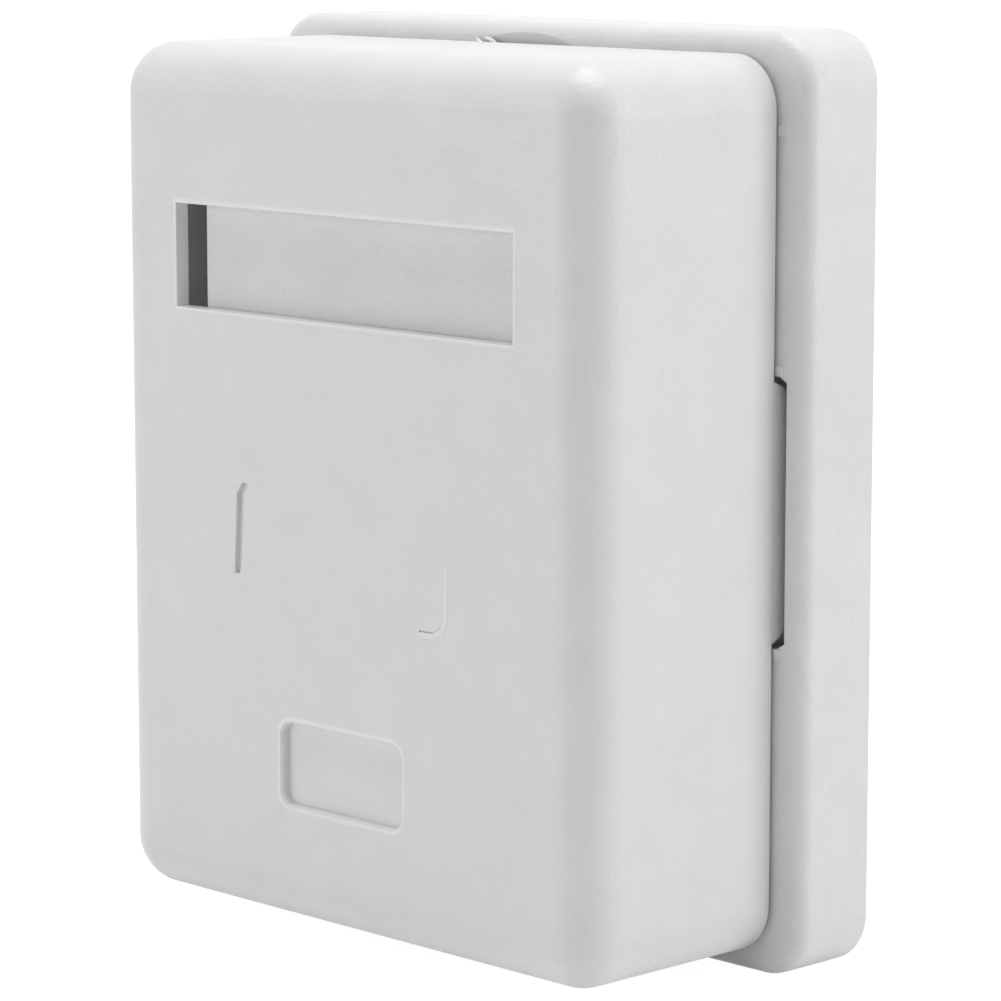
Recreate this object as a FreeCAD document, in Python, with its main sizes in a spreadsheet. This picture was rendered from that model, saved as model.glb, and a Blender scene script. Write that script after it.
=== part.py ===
import FreeCAD, Part
import math
import os
import re
import Sketcher

# Surface mount jack box, millimetres, +Z up.
# The wall is the plane Y = 0 and the front looks along -Y, so a "depth" in the names below is a
# distance in front of the wall. X = 0 is the middle of the box and Z = 0 half its height.

SIZES = {
    # Front cover: a deep shell with one closed front and rounded front edges.
    "cover_width": (66.6, "outside width of the front cover"),
    "cover_height": (85.0, "outside height of the front cover"),
    "cover_depth": (24.6, "front cover from its rim to its face"),
    "cover_wall": (1.5, "wall of the front cover"),
    "cover_corner": (5.1, "radius of the cover's four long corners"),
    "cover_edge": (4.5, "radius round the edge of the face"),
    "rim_edge": (0.3, "small bevel on the outside of the rim"),
    "rim_gap": (0.3, "gap between the cover's rim and the ledge"),
    # Base: a dish that opens to the wall, with a ledge round the cover.
    "ledge_side": (3.55, "ledge beyond the cover at each side"),
    "ledge_end": (2.1, "ledge beyond the cover at top and bottom"),
    "base_depth": (9.3, "base from the wall to its ledge"),
    "base_wall": (1.8, "wall of the base"),
    "base_corner": (5.3, "radius of the base's four long corners"),
    "base_edge": (1.5, "radius round the edge of the ledge"),
    "rib_thick": (1.2, "ribs behind the floor of the base"),
    "rib_level": (13.35, "height of the two cross ribs above and below the middle"),
    "spine_thick": (1.6, "upright rib between the two cross ribs"),
    # Spigot: the low wall on the base that the cover slides over.
    "spigot_clear": (0.25, "clearance between the spigot and the cover"),
    "spigot_wall": (1.4, "wall of the spigot"),
    "spigot_rise": (3.5, "spigot above the ledge"),
    "bead_rise": (0.15, "snap bead on the side of the spigot"),
    "bead_tall": (0.5, "snap bead across its ridge"),
    "bead_long": (20.0, "length of a snap bead"),
    "bead_drop": (0.6, "snap bead below the top of the spigot"),
    # Openings in the ledge.
    "slot_long": (24.6, "side slot in the ledge, along its outer edge"),
    "slot_reach": (1.05, "side slot beyond the side of the cover"),
    "slot_bevel": (0.6, "bevel at each end of a side slot"),
    "slot_floor": (1.5, "floor of a side slot, against the wall"),
    "scoop_width": (12.2, "pry scoop in the top ledge, along the cover"),
    "scoop_rise": (1.25, "pry scoop above the top of the cover"),
    "scoop_depth": (0.45, "depth of the pry scoop at the cover"),
    "scoop_taper": (0.75, "floor of the pry scoop as a share of its mouth"),
    "nub_rise": (0.16, "locating nubs on the ledge"),
    "nub_wide": (0.9, "locating nub across"),
    "nub_tall": (1.0, "locating nub along the rim"),
    "nub_level": (35.6, "height of the upper nubs above the middle"),
    # Window and label plate.
    "window_width": (47.1, "label window"),
    "window_height": (10.15, "label window"),
    "window_drop": (15.45, "label window below the top of the cover"),
    "label_length": (47.2, "label plate"),
    "label_lap": (1.6, "label plate beyond the window above and below"),
    "label_thick": (1.0, "label plate"),
    "label_clear": (0.1, "running clearance round the label plate"),
    "frame_reach": (2.75, "label frame beyond the window at each end"),
    "frame_wall": (1.0, "walls of the label frame"),
    "lip_thick": (0.8, "snap lips that hold the label plate"),
    "lip_long": (6.0, "length of one snap lip"),
    "lip_lap": (0.9, "snap lip over the plate"),
    "lip_pitch": (19.0, "distance between snap lips"),
    # Icon pocket and the faint marks on the face.
    "icon_width": (16.9, "icon pocket"),
    "icon_height": (8.1, "icon pocket"),
    "icon_lift": (12.0, "icon pocket above the bottom of the cover"),
    "icon_depth": (0.8, "icon pocket"),
    "icon_corner": (1.3, "corner radius of the icon pocket"),
    "icon_edge": (0.2, "bevel round the mouth of the icon pocket"),
    "icon_backing": (0.6, "thicker wall behind the icon pocket"),
    "plate_width": (29.6, "place of the plain plate on the face"),
    "plate_top": (0.4, "top of the plain plate's place"),
    "plate_height": (11.6, "height of the plain plate's place"),
    "mark_width": (1.0, "shallow groove at the left of the plain plate's place"),
    "mark_long": (9.0, "length of that groove"),
    "mark_lean": (0.45, "lean of that groove"),
    "mark_depth": (0.45, "depth of that groove"),
    "trace_width": (0.4, "faint line at the lower right of the plain plate's place"),
    "trace_tall": (4.6, "upright of the faint line"),
    "trace_long": (2.4, "foot of the faint line"),
    "trace_corner": (1.3, "bevel between the two"),
    "trace_depth": (0.12, "depth of the faint line"),
    # Inside of the base.
    "cable_width": (20.0, "cable entry"),
    "cable_height": (13.0, "cable entry"),
    "cable_corner": (3.0, "corner radius of the cable entry"),
    "cable_gap": (3.25, "cable entry above the upper cross rib"),
    "screw_hole": (4.3, "holes for the wall screws"),
    "screw_boss": (8.0, "bosses round the wall screw holes"),
    "screw_inset_side": (4.15, "wall screw holes inside the spigot, from its sides"),
    "screw_inset_end": (6.35, "wall screw holes inside the spigot, from top and bottom"),
    "lug_width": (3.0, "cable tie lugs"),
    "lug_tall": (7.0, "cable tie lugs"),
    "lug_rise": (3.4, "cable tie lugs above the floor"),
    "lug_gap": (2.6, "cable tie lugs beside the cable entry"),
    "lug_eye_tall": (3.4, "eye through a cable tie lug"),
    "lug_eye_rise": (1.8, "eye through a cable tie lug"),
    # Circuit board and what holds it.
    "board_width": (44.0, "circuit board"),
    "board_height": (51.2, "circuit board"),
    "board_thick": (1.6, "circuit board"),
    "board_corner": (1.5, "corner radius of the circuit board"),
    "board_clear": (0.35, "circuit board to the spigot"),
    "post_rise": (2.5, "posts under the board"),
    "post_size": (5.0, "diameter of the posts"),
    "post_inset": (3.5, "posts inside the edge of the board"),
    "pin_size": (2.0, "locating pins on the lower posts"),
    "pin_play": (0.1, "clearance round a locating pin"),
    "pilot_size": (2.05, "pilot holes in the upper posts"),
    "pilot_depth": (3.8, "pilot holes in the upper posts"),
    "screw_shank": (1.95, "board screws"),
    "screw_length": (5.0, "board screws under the head"),
    "screw_head": (4.2, "board screws"),
    "screw_head_rise": (1.5, "board screws"),
    "screw_crown": (0.5, "bevel round the head of a board screw"),
    "screw_pass": (2.4, "holes in the board for its screws"),
    "cross_width": (0.6, "cross recess of a board screw"),
    "cross_span": (2.5, "cross recess of a board screw"),
    "cross_depth": (0.9, "cross recess of a board screw"),
    # Eight-way jack.
    "jack_width": (15.2, "jack housing"),
    "jack_rise": (13.3, "jack housing above the board"),
    "jack_length": (15.6, "jack housing from its mouth to its back"),
    "jack_recess": (0.3, "mouth of the jack behind the cover's bottom face"),
    "jack_play": (0.25, "clearance of the jack in the cover's notch"),
    "mouth_width": (11.9, "plug cavity"),
    "mouth_tall": (6.8, "plug cavity"),
    "mouth_floor": (1.9, "floor of the plug cavity above the board"),
    "mouth_deep": (13.0, "plug cavity"),
    "latch_width": (6.4, "channel for the plug's latch"),
    "latch_tall": (1.6, "channel for the plug's latch"),
    "latch_key_width": (3.4, "narrow part of the latch channel"),
    "latch_key_tall": (1.3, "narrow part of the latch channel"),
    "peg_size": (3.0, "pegs of the jack in the board"),
    "peg_play": (0.1, "clearance round a peg"),
    "peg_reach": (2.1, "pegs of the jack below the housing"),
    "peg_side": (5.75, "pegs of the jack either side of the middle"),
    "peg_back": (6.2, "pegs of the jack behind its mouth"),
    # Spring contacts of the jack.
    "contact_pitch": (1.016, "spring contacts"),
    "contact_width": (0.45, "spring contacts"),
    "contact_thick": (0.35, "spring contacts"),
    "contact_slot": (0.62, "slots for the spring contacts"),
    "contact_bend": (0.6, "bend between the tail and the run of a spring contact"),
    "contact_front": (2.5, "hairpin of a spring contact behind the mouth"),
    "contact_run": (0.85, "run of a spring contact above the board"),
    "contact_fold": (1.5, "hairpin at the front of a spring contact, across"),
    "contact_tip_rise": (2.05, "tip of a spring contact above the cavity floor"),
    "contact_tip_back": (3.6, "tip of a spring contact in front of the housing's back"),
    "tail_back": (1.6, "near row of solder tails in front of the housing's back"),
    "tail_step": (2.5, "distance between the two rows of solder tails"),
    "tail_reach": (0.9, "solder tails below the board"),
    "tail_hole": (0.9, "holes in the board for solder tails"),
    # Insulation displacement blocks, their blades and caps.
    "block_width": (8.6, "connecting block"),
    "block_base": (4.0, "foot of a connecting block"),
    "block_rise": (11.0, "connecting block above the board"),
    "block_inset": (9.5, "middle of a connecting block inside the side of the board"),
    "block_lift": (33.6, "middle of the blocks above the bottom of the board"),
    "pillar_tall": (2.6, "pillars of a connecting block"),
    "wire_pitch": (4.2, "wire slots of a connecting block"),
    "pillar_bevel": (0.9, "bevel on top of a pillar"),
    "blade_thick": (0.5, "blades"),
    "blade_tall": (3.2, "blades across the wire slot"),
    "blade_rise": (9.0, "blades above the board"),
    "blade_play": (0.1, "clearance of a blade in its block"),
    "blade_slot": (0.4, "slot of a blade"),
    "blade_slot_deep": (5.0, "slot of a blade"),
    "blade_mouth": (1.8, "mouth of a blade's slot"),
    "blade_mouth_deep": (1.1, "mouth of a blade's slot"),
    "blade_tail": (0.7, "solder tail of a blade"),
    "cap_play": (0.3, "clearance between a cap and its block"),
    "cap_wall": (0.9, "wall of a cap"),
    "cap_edge": (0.5, "bevel on the outer edges of a cap"),
    "cap_skirt": (4.0, "skirt of a cap below its roof"),
    "cap_slot": (1.8, "wire slots in the skirt of a cap"),
    "cap_slot_deep": (2.8, "wire slots in the skirt of a cap"),
    "presser_thick": (0.9, "wire pressers inside a cap"),
    "presser_long": (2.6, "wire pressers inside a cap"),
    "presser_deep": (2.5, "wire pressers inside a cap"),
}

CONTACTS = 8        # the ways of the jack, and as many blades
WIRES_A_BLOCK = 4   # two twisted pairs on each connecting block

# Places that several pieces share, as formulas of the sizes.
BASE_HALF = "(cover_width / 2 + ledge_side)"
BASE_END = "(cover_height / 2 + ledge_end)"
RIM = "(base_depth + rim_gap)"
FACE = "(base_depth + rim_gap + cover_depth)"
INNER_FACE = "(base_depth + rim_gap + cover_depth - cover_wall)"
SPIGOT_HALF = "(cover_width / 2 - cover_wall - spigot_clear)"
SPIGOT_END = "(cover_height / 2 - cover_wall - spigot_clear)"
ROOM_HALF = "(cover_width / 2 - cover_wall - spigot_clear - spigot_wall)"
ROOM_END = "(cover_height / 2 - cover_wall - spigot_clear - spigot_wall)"
FLOOR_BACK = "(base_depth - base_wall)"
BOARD_BACK = "(base_depth + post_rise)"
BOARD_FRONT = "(base_depth + post_rise + board_thick)"
BOARD_LOW = "(board_clear - " + ROOM_END + ")"
BOARD_HIGH = "(" + BOARD_LOW + " + board_height)"
POST_SIDE = "(board_width / 2 - post_inset)"
POST_LOW = "(" + BOARD_LOW + " + post_inset)"
POST_HIGH = "(" + BOARD_HIGH + " - post_inset)"
MOUTH = "(jack_recess - cover_height / 2)"
JACK_BACK = "(" + MOUTH + " + jack_length)"
CAVITY_FLOOR = "(" + BOARD_FRONT + " + mouth_floor)"
WINDOW_HIGH = "(cover_height / 2 - window_drop)"
WINDOW_LOW = "(cover_height / 2 - window_drop - window_height)"
LABEL_FRONT = "(" + INNER_FACE + " - label_clear)"
LABEL_BACK = "(" + LABEL_FRONT + " - label_thick)"
BLOCK_SIDE = "(board_width / 2 - block_inset)"
BLOCK_MIDDLE = "(" + BOARD_LOW + " + block_lift)"
BLOCK_HALF = "((wire_pitch * 4 + pillar_tall) / 2)"
CABLE_LOW = "(rib_level + rib_thick / 2 + cable_gap)"

doc = FreeCAD.newDocument("SurfaceMountJackBox")
sheet = doc.addObject("Spreadsheet::Sheet", "Sizes")
for row, (alias, (number, note)) in enumerate(SIZES.items(), start=1):
    sheet.set("A%d" % row, alias)
    sheet.set("B%d" % row, str(number))
    sheet.set("C%d" % row, note)
    sheet.setAlias("B%d" % row, alias)
doc.recompute()

nodes = []
MATCH = 1e-4


def formula(text):
    """Puts the sheet's name before each size in a formula."""
    return re.sub(r"[a-z_]+", lambda word: named(word.group(0)), str(text))


def named(word):
    return "Sizes." + word if word in SIZES else word


def new_body(label):
    """One sub-part: a body whose label names its file."""
    body = doc.addObject("PartDesign::Body", label)
    body.Label = label
    nodes.append(body)
    return body


def origin_plane(body, role):
    for feature in body.Origin.OriginFeatures:
        if feature.Role == role:
            return feature
    raise ValueError("no plane " + role)


def new_sketch(body, name, role, offset):
    """A sketch parallel to an origin plane: XZ looks along -Y, XY along +Z and YZ along +X."""
    sketch = body.newObject("Sketcher::SketchObject", name)
    sketch.AttachmentSupport = [(origin_plane(body, role), "")]
    sketch.MapMode = "FlatFace"
    sketch.setExpression("AttachmentOffset.Base.z", formula(offset))
    return sketch


def front_sketch(body, name, depth):
    return new_sketch(body, name, "XZ_Plane", depth)


def place(sketch, geometry, point, across, up, first=(1.0, 1.0)):
    """Ties one point of a sketch to the origin by two formulas; first is where it is drawn."""
    for kind, text, start in (("DistanceX", across, first[0]), ("DistanceY", up, first[1])):
        index = sketch.addConstraint(Sketcher.Constraint(kind, -1, 1, geometry, point, start))
        sketch.setExpression("Constraints[%d]" % index, formula(text))


def polygon(sketch, corners, closed=True):
    """Straight lines through corners, each given as two formulas."""
    count = len(corners)
    last = count if closed else count - 1
    rough = [FreeCAD.Vector(number, number * number * 0.1, 0) for number in range(count)]
    lines = []
    for number in range(last):
        line = Part.LineSegment(rough[number], rough[(number + 1) % count])
        lines.append(sketch.addGeometry(line, False))
    for number in range(last):
        following = (number + 1) % len(lines)
        if closed or number < last - 1:
            joint = Sketcher.Constraint("Coincident", lines[number], 2, lines[following], 1)
            sketch.addConstraint(joint)
        place(sketch, lines[number], 1, *corners[number])
    if not closed:
        place(sketch, lines[-1], 2, *corners[-1])
    return lines


def rectangle(sketch, left, right, low, high):
    polygon(sketch, [(left, low), (right, low), (right, high), (left, high)])


def centred(sketch, half_width, low, high):
    rectangle(sketch, "-(%s)" % half_width, half_width, low, high)


def rounded(sketch, half_width, half_height, radius):
    """A centred rectangle with round corners: four arcs joined by four lines."""
    arcs = []
    for turn, (side, end) in enumerate((("", ""), ("-", ""), ("-", "-"), ("", "-"))):
        middle = FreeCAD.Vector(-2.0 if side else 2.0, -2.0 if end else 2.0, 0)
        whole = Part.Circle(middle, FreeCAD.Vector(0, 0, 1), 1.0)
        start = turn * math.pi / 2
        arc = sketch.addGeometry(Part.ArcOfCircle(whole, start, start + math.pi / 2), False)
        place(sketch, arc, 3, "%s(%s - %s)" % (side, half_width, radius),
              "%s(%s - %s)" % (end, half_height, radius))
        size = sketch.addConstraint(Sketcher.Constraint("Radius", arc, 1.0))
        sketch.setExpression("Constraints[%d]" % size, formula(radius))
        kinds = ("Horizontal", "Vertical") if turn % 2 == 0 else ("Vertical", "Horizontal")
        sketch.addConstraint(Sketcher.Constraint(kinds[0], arc, 1, arc, 3))
        sketch.addConstraint(Sketcher.Constraint(kinds[1], arc, 2, arc, 3))
        arcs.append(arc)
    for turn in range(4):
        following = arcs[(turn + 1) % 4]
        line = sketch.addGeometry(Part.LineSegment(FreeCAD.Vector(turn, 3, 0),
                                                   FreeCAD.Vector(turn, -3, 0)), False)
        sketch.addConstraint(Sketcher.Constraint("Coincident", line, 1, arcs[turn], 2))
        sketch.addConstraint(Sketcher.Constraint("Coincident", line, 2, following, 1))


def arched(sketch, half_width, root, level, rise, drawn):
    """A round-topped outline: straight foot and sides, and one arc that rises above level.

    drawn gives half width, level and rise as numbers, so that the arc is drawn in its place."""
    half, side_top, high = drawn
    round_size = (half * half + high * high) / (2 * high)
    lean = math.asin(half / round_size)
    middle_up = side_top + high - round_size
    over = Part.Circle(FreeCAD.Vector(0, middle_up, 0), FreeCAD.Vector(0, 0, 1), round_size)
    arc = sketch.addGeometry(Part.ArcOfCircle(over, math.pi / 2 - lean, math.pi / 2 + lean), False)
    place(sketch, arc, 1, half_width, level, (half, side_top))
    place(sketch, arc, 2, "-" + half_width, level, (-half, side_top))
    radius = "((%s * %s + %s * %s) / (2 * %s))" % (half_width, half_width, rise, rise, rise)
    middle = sketch.addConstraint(Sketcher.Constraint("DistanceY", -1, 1, arc, 3, middle_up))
    sketch.setExpression("Constraints[%d]" % middle, formula("%s + %s - %s" % (level, rise, radius)))
    polygon(sketch, [("-" + half_width, level), ("-" + half_width, root),
                     (half_width, root), (half_width, level)], closed=False)


def circle(sketch, across, up, diameter):
    round_line = Part.Circle(FreeCAD.Vector(0, 0, 0), FreeCAD.Vector(0, 0, 1), 1.0)
    index = sketch.addGeometry(round_line, False)
    place(sketch, index, 3, across, up)
    size = sketch.addConstraint(Sketcher.Constraint("Diameter", index, 2.0))
    sketch.setExpression("Constraints[%d]" % size, formula(diameter))


def octagon(sketch, across, up, size):
    """A small drilled hole, drawn with eight sides; size is across its flats."""
    flat = "%s * %.6f" % (size, math.tan(math.pi / 8) / 2)
    side = "%s / 2" % size
    steps = [(side, flat), (flat, side), ("-" + flat, side), ("-" + side, flat)]
    corners = []
    for turn in ("", "-"):
        for step_x, step_z in steps:
            corners.append(("%s + %s(%s)" % (across, turn, step_x), "%s + %s(%s)" % (up, turn, step_z)))
    polygon(sketch, corners)


def volume(body):
    return body.Shape.Volume if body.Shape and not body.Shape.isNull() else 0.0


def pad(body, sketch, length, backwards=False):
    """Adds material on the side that the sketch looks to, or behind it."""
    before = volume(body)
    feature = body.newObject("PartDesign::Pad", sketch.Name + "_pad")
    feature.Profile = sketch
    feature.Reversed = backwards
    feature.setExpression("Length", formula(length))
    doc.recompute()
    if volume(body) <= before + MATCH:
        raise ValueError(feature.Name + " adds nothing")
    return feature


def pocket(body, sketch, length):
    """Cuts away from the side that the sketch looks to: towards the wall from an XZ sketch."""
    before = volume(body)
    feature = body.newObject("PartDesign::Pocket", sketch.Name + "_cut")
    feature.Profile = sketch
    feature.setExpression("Length", formula(length))
    doc.recompute()
    if volume(body) >= before - MATCH:
        raise ValueError(feature.Name + " cuts nothing")
    return feature


def dress(body, kind, name, size, wanted):
    """Rounds or bevels the edges of the body that pass the test."""
    dressed = body.Tip
    names = []
    for number, edge in enumerate(dressed.Shape.Edges, start=1):
        if wanted(Span(edge)):
            names.append("Edge%d" % number)
    if not names:
        raise ValueError(name + " finds no edge")
    feature = body.newObject("PartDesign::" + kind, name)
    feature.Base = (dressed, names)
    feature.setExpression("Radius" if kind == "Fillet" else "Size", formula(size))
    doc.recompute()


def fillet(body, name, radius, wanted):
    dress(body, "Fillet", name, radius, wanted)


def bevel(body, name, size, wanted):
    dress(body, "Chamfer", name, size, wanted)


def size_of(name):
    return float(sheet.get(name))


def total(*names):
    return sum(size_of(name) for name in names)


class Span:
    """The reach of an edge in X, Y and Z, from its two ends and its middle."""

    def __init__(self, edge):
        first, last = edge.ParameterRange
        spots = [edge.valueAt(first + (last - first) * share) for share in (0, 0.5, 1)]
        self.left, self.right = min(p.x for p in spots), max(p.x for p in spots)
        self.front, self.back = min(p.y for p in spots), max(p.y for p in spots)
        self.low, self.high = min(p.z for p in spots), max(p.z for p in spots)

    def in_plane_y(self, level):
        return near(self.front, level) and near(self.back, level)

    def along_depth(self):
        return near(self.left, self.right) and near(self.low, self.high)

    def along_depth_between(self, front, back):
        return self.along_depth() and near(self.front, front) and near(self.back, back)

    def within(self, half_width, half_height):
        across = max(abs(self.left), abs(self.right))
        up = max(abs(self.low), abs(self.high))
        return across < half_width + MATCH and up < half_height + MATCH

    def at_corner(self, half_width, half_height):
        return near(abs(self.left), half_width) and near(abs(self.low), half_height)


def near(one, other):
    return abs(one - other) < MATCH


# ---------------------------------------------------------------- front cover


def cover_shell(body):
    """The outer form: rounded corners, a rounded edge round the face, and the hollow."""
    outline = front_sketch(body, "cover_outline", RIM)
    centred(outline, "cover_width / 2", "-cover_height / 2", "cover_height / 2")
    pad(body, outline, "cover_depth")
    half_width = size_of("cover_width") / 2
    half_height = size_of("cover_height") / 2
    rim = -total("base_depth", "rim_gap")
    face = rim - size_of("cover_depth")
    fillet(body, "cover_corners", "cover_corner",
           lambda edge: edge.along_depth() and edge.at_corner(half_width, half_height))
    fillet(body, "face_edges", "cover_edge", lambda edge: edge.in_plane_y(face))
    bevel(body, "rim_edges", "rim_edge", lambda edge: edge.in_plane_y(rim))

    hollow = front_sketch(body, "cover_hollow", INNER_FACE)
    rounded(hollow, "(cover_width / 2 - cover_wall)", "(cover_height / 2 - cover_wall)",
            "(cover_corner - cover_wall)")
    pocket(body, hollow, "cover_depth")
    wall = size_of("cover_wall")
    fillet(body, "hollow_edges", "cover_corner - cover_wall",
           lambda edge: edge.in_plane_y(face + wall))


def cover_window(body):
    """The window through the face, and the frame behind it that holds the label plate."""
    window = front_sketch(body, "window", FACE)
    centred(window, "window_width / 2", WINDOW_LOW, WINDOW_HIGH)
    pocket(body, window, "cover_wall * 1.5")

    frame_half = "(window_width / 2 + frame_reach)"
    frame_low = "(%s - label_lap - label_clear)" % WINDOW_LOW
    frame_high = "(%s + label_lap + label_clear)" % WINDOW_HIGH
    frame_deep = "(label_thick + label_clear * 2 + lip_thick)"
    frame = front_sketch(body, "label_frame", INNER_FACE)
    centred(frame, frame_half + " + frame_wall", frame_low + " - frame_wall",
            frame_high + " + frame_wall")
    centred(frame, frame_half, frame_low, frame_high)
    pad(body, frame, frame_deep, backwards=True)

    lips = front_sketch(body, "label_lips", "%s - label_clear" % LABEL_BACK)
    for step in (-1, 0, 1):
        left = "(lip_pitch * %d - lip_long / 2)" % step
        right = "(lip_pitch * %d + lip_long / 2)" % step
        root = "frame_wall / 2"
        rectangle(lips, left, right, "%s - %s" % (frame_low, root),
                  "%s + label_clear + lip_lap" % frame_low)
        rectangle(lips, left, right, "%s - label_clear - lip_lap" % frame_high,
                  "%s + %s" % (frame_high, root))
    pad(body, lips, "lip_thick", backwards=True)


def cover_icon_pocket(body):
    """A shallow rounded pocket for an icon, with a thicker wall behind it."""
    low = "(icon_lift - cover_height / 2)"
    high = "(icon_lift + icon_height - cover_height / 2)"
    backing = front_sketch(body, "icon_backing", INNER_FACE)
    centred(backing, "icon_width / 2 + cover_wall", low + " - cover_wall", high + " + cover_wall")
    pad(body, backing, "icon_backing", backwards=True)

    outline = front_sketch(body, "icon_pocket", FACE)
    centred(outline, "icon_width / 2", low, high)
    pocket(body, outline, "icon_depth")
    face = -total("base_depth", "rim_gap", "cover_depth")
    floor = face + size_of("icon_depth")
    reach = size_of("icon_width") / 2
    bottom = size_of("icon_lift") - size_of("cover_height") / 2
    top = bottom + size_of("icon_height")
    fillet(body, "icon_corners", "icon_corner",
           lambda edge: edge.along_depth_between(face, floor) and near(abs(edge.left), reach))
    bevel(body, "icon_mouth", "icon_edge",
           lambda edge: edge.in_plane_y(face) and edge.within(reach, size_of("cover_height"))
           and edge.low > bottom - MATCH and edge.high < top + MATCH)


def cover_marks(body):
    """What is left of a filled plate on the face: one shallow groove and one faint line."""
    left = "(-plate_width / 2)"
    foot = "(plate_top - mark_long)"
    groove = front_sketch(body, "groove", FACE)
    polygon(groove, [
        (left + " - mark_lean", foot),
        (left + " - mark_lean + mark_width * 0.7", foot),
        (left + " - mark_lean + mark_width", foot + " + mark_width"),
        (left + " + mark_width", "plate_top - mark_width"),
        (left + " + mark_width * 1.6", "plate_top - mark_width * 0.3"),
        (left + " + mark_width * 1.6", "plate_top"),
        (left + " + mark_width * 0.7", "plate_top"),
        (left, "plate_top - mark_width"),
    ])
    pocket(body, groove, "mark_depth")

    right = "(plate_width / 2)"
    low = "(plate_top - plate_height)"
    trace = front_sketch(body, "trace", FACE)
    polygon(trace, [
        (right, low + " + trace_corner + trace_tall"),
        (right + " - trace_width", low + " + trace_corner + trace_tall"),
        (right + " - trace_width", low + " + trace_corner + trace_width / 2"),
        (right + " - trace_corner - trace_width / 2", low + " + trace_width"),
        (right + " - trace_corner - trace_long", low + " + trace_width"),
        (right + " - trace_corner - trace_long", low),
        (right + " - trace_corner", low),
        (right, low + " + trace_corner"),
    ])
    pocket(body, trace, "trace_depth")


def cover_notches(body):
    """The notch for the jack in the bottom wall, and grooves for the snap beads in the sides."""
    notch = new_sketch(body, "jack_notch", "XY_Plane", "cover_wall * 1.5 - cover_height / 2")
    half = "jack_width / 2 + jack_play"
    top = "-(%s + jack_rise + jack_play)" % BOARD_FRONT
    rectangle(notch, "-(%s)" % half, half, top, "-base_depth")
    pocket(body, notch, "cover_wall * 2")

    depth = "base_depth + spigot_rise - bead_drop"
    groove = front_sketch(body, "bead_grooves", depth + " + bead_rise")
    inner = "cover_width / 2 - cover_wall"
    long = "bead_long / 2 + bead_rise"
    for sign in ("", "-"):
        rectangle(groove, "%s(%s - bead_rise)" % (sign, inner), "%s(%s + bead_rise)" % (sign, inner),
                  "-(%s)" % long, long)
    pocket(body, groove, "bead_tall + bead_rise * 2")


def front_cover():
    body = new_body("front_cover")
    cover_shell(body)
    cover_window(body)
    cover_icon_pocket(body)
    cover_marks(body)
    cover_notches(body)


def label_plate():
    """The plain plate behind the window, at the right end of its frame."""
    body = new_body("label_plate")
    right = "(window_width / 2 + frame_reach - label_clear)"
    outline = front_sketch(body, "label_outline", LABEL_BACK)
    rectangle(outline, right + " - label_length", right, WINDOW_LOW + " - label_lap",
              WINDOW_HIGH + " + label_lap")
    pad(body, outline, "label_thick")
    front = -(total("base_depth", "rim_gap", "cover_depth") - total("cover_wall", "label_clear"))
    fillet(body, "label_edges", "label_thick * 0.3", lambda edge: edge.in_plane_y(front))


# ---------------------------------------------------------------- base


def base_dish(body):
    """The dish with its ledge, and the ribs and slot wells that bear on the wall."""
    outline = front_sketch(body, "base_outline", "0")
    centred(outline, BASE_HALF, "-" + BASE_END, BASE_END)
    pad(body, outline, "base_depth")
    half_width = size_of("cover_width") / 2 + size_of("ledge_side")
    half_height = size_of("cover_height") / 2 + size_of("ledge_end")
    wall = size_of("base_wall")
    ledge = -size_of("base_depth")
    fillet(body, "base_corners", "base_corner",
           lambda edge: edge.along_depth() and edge.at_corner(half_width, half_height))
    fillet(body, "ledge_edges", "base_edge", lambda edge: edge.in_plane_y(ledge))

    hollow = front_sketch(body, "base_hollow", FLOOR_BACK)
    centred(hollow, BASE_HALF + " - base_wall", "base_wall - " + BASE_END,
            BASE_END + " - base_wall")
    pocket(body, hollow, "base_depth")
    fillet(body, "base_hollow_corners", "base_corner - base_wall",
           lambda edge: edge.along_depth() and edge.at_corner(half_width - wall, half_height - wall))

    ribs = front_sketch(body, "cross_ribs", "0")
    for sign in ("", "-"):
        centred(ribs, BASE_HALF + " - base_wall / 2",
                "%srib_level - rib_thick / 2" % sign, "%srib_level + rib_thick / 2" % sign)
    pad(body, ribs, FLOOR_BACK)
    spine = front_sketch(body, "spine", "0")
    centred(spine, "spine_thick / 2", "-rib_level", "rib_level")
    for sign in ("", "-"):
        rectangle(spine, "%s(%s - rib_thick)" % (sign, SPIGOT_HALF),
                  "%s(%s - base_wall / 2)" % (sign, BASE_HALF), "-rib_level", "rib_level")
    pad(body, spine, FLOOR_BACK)


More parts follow.
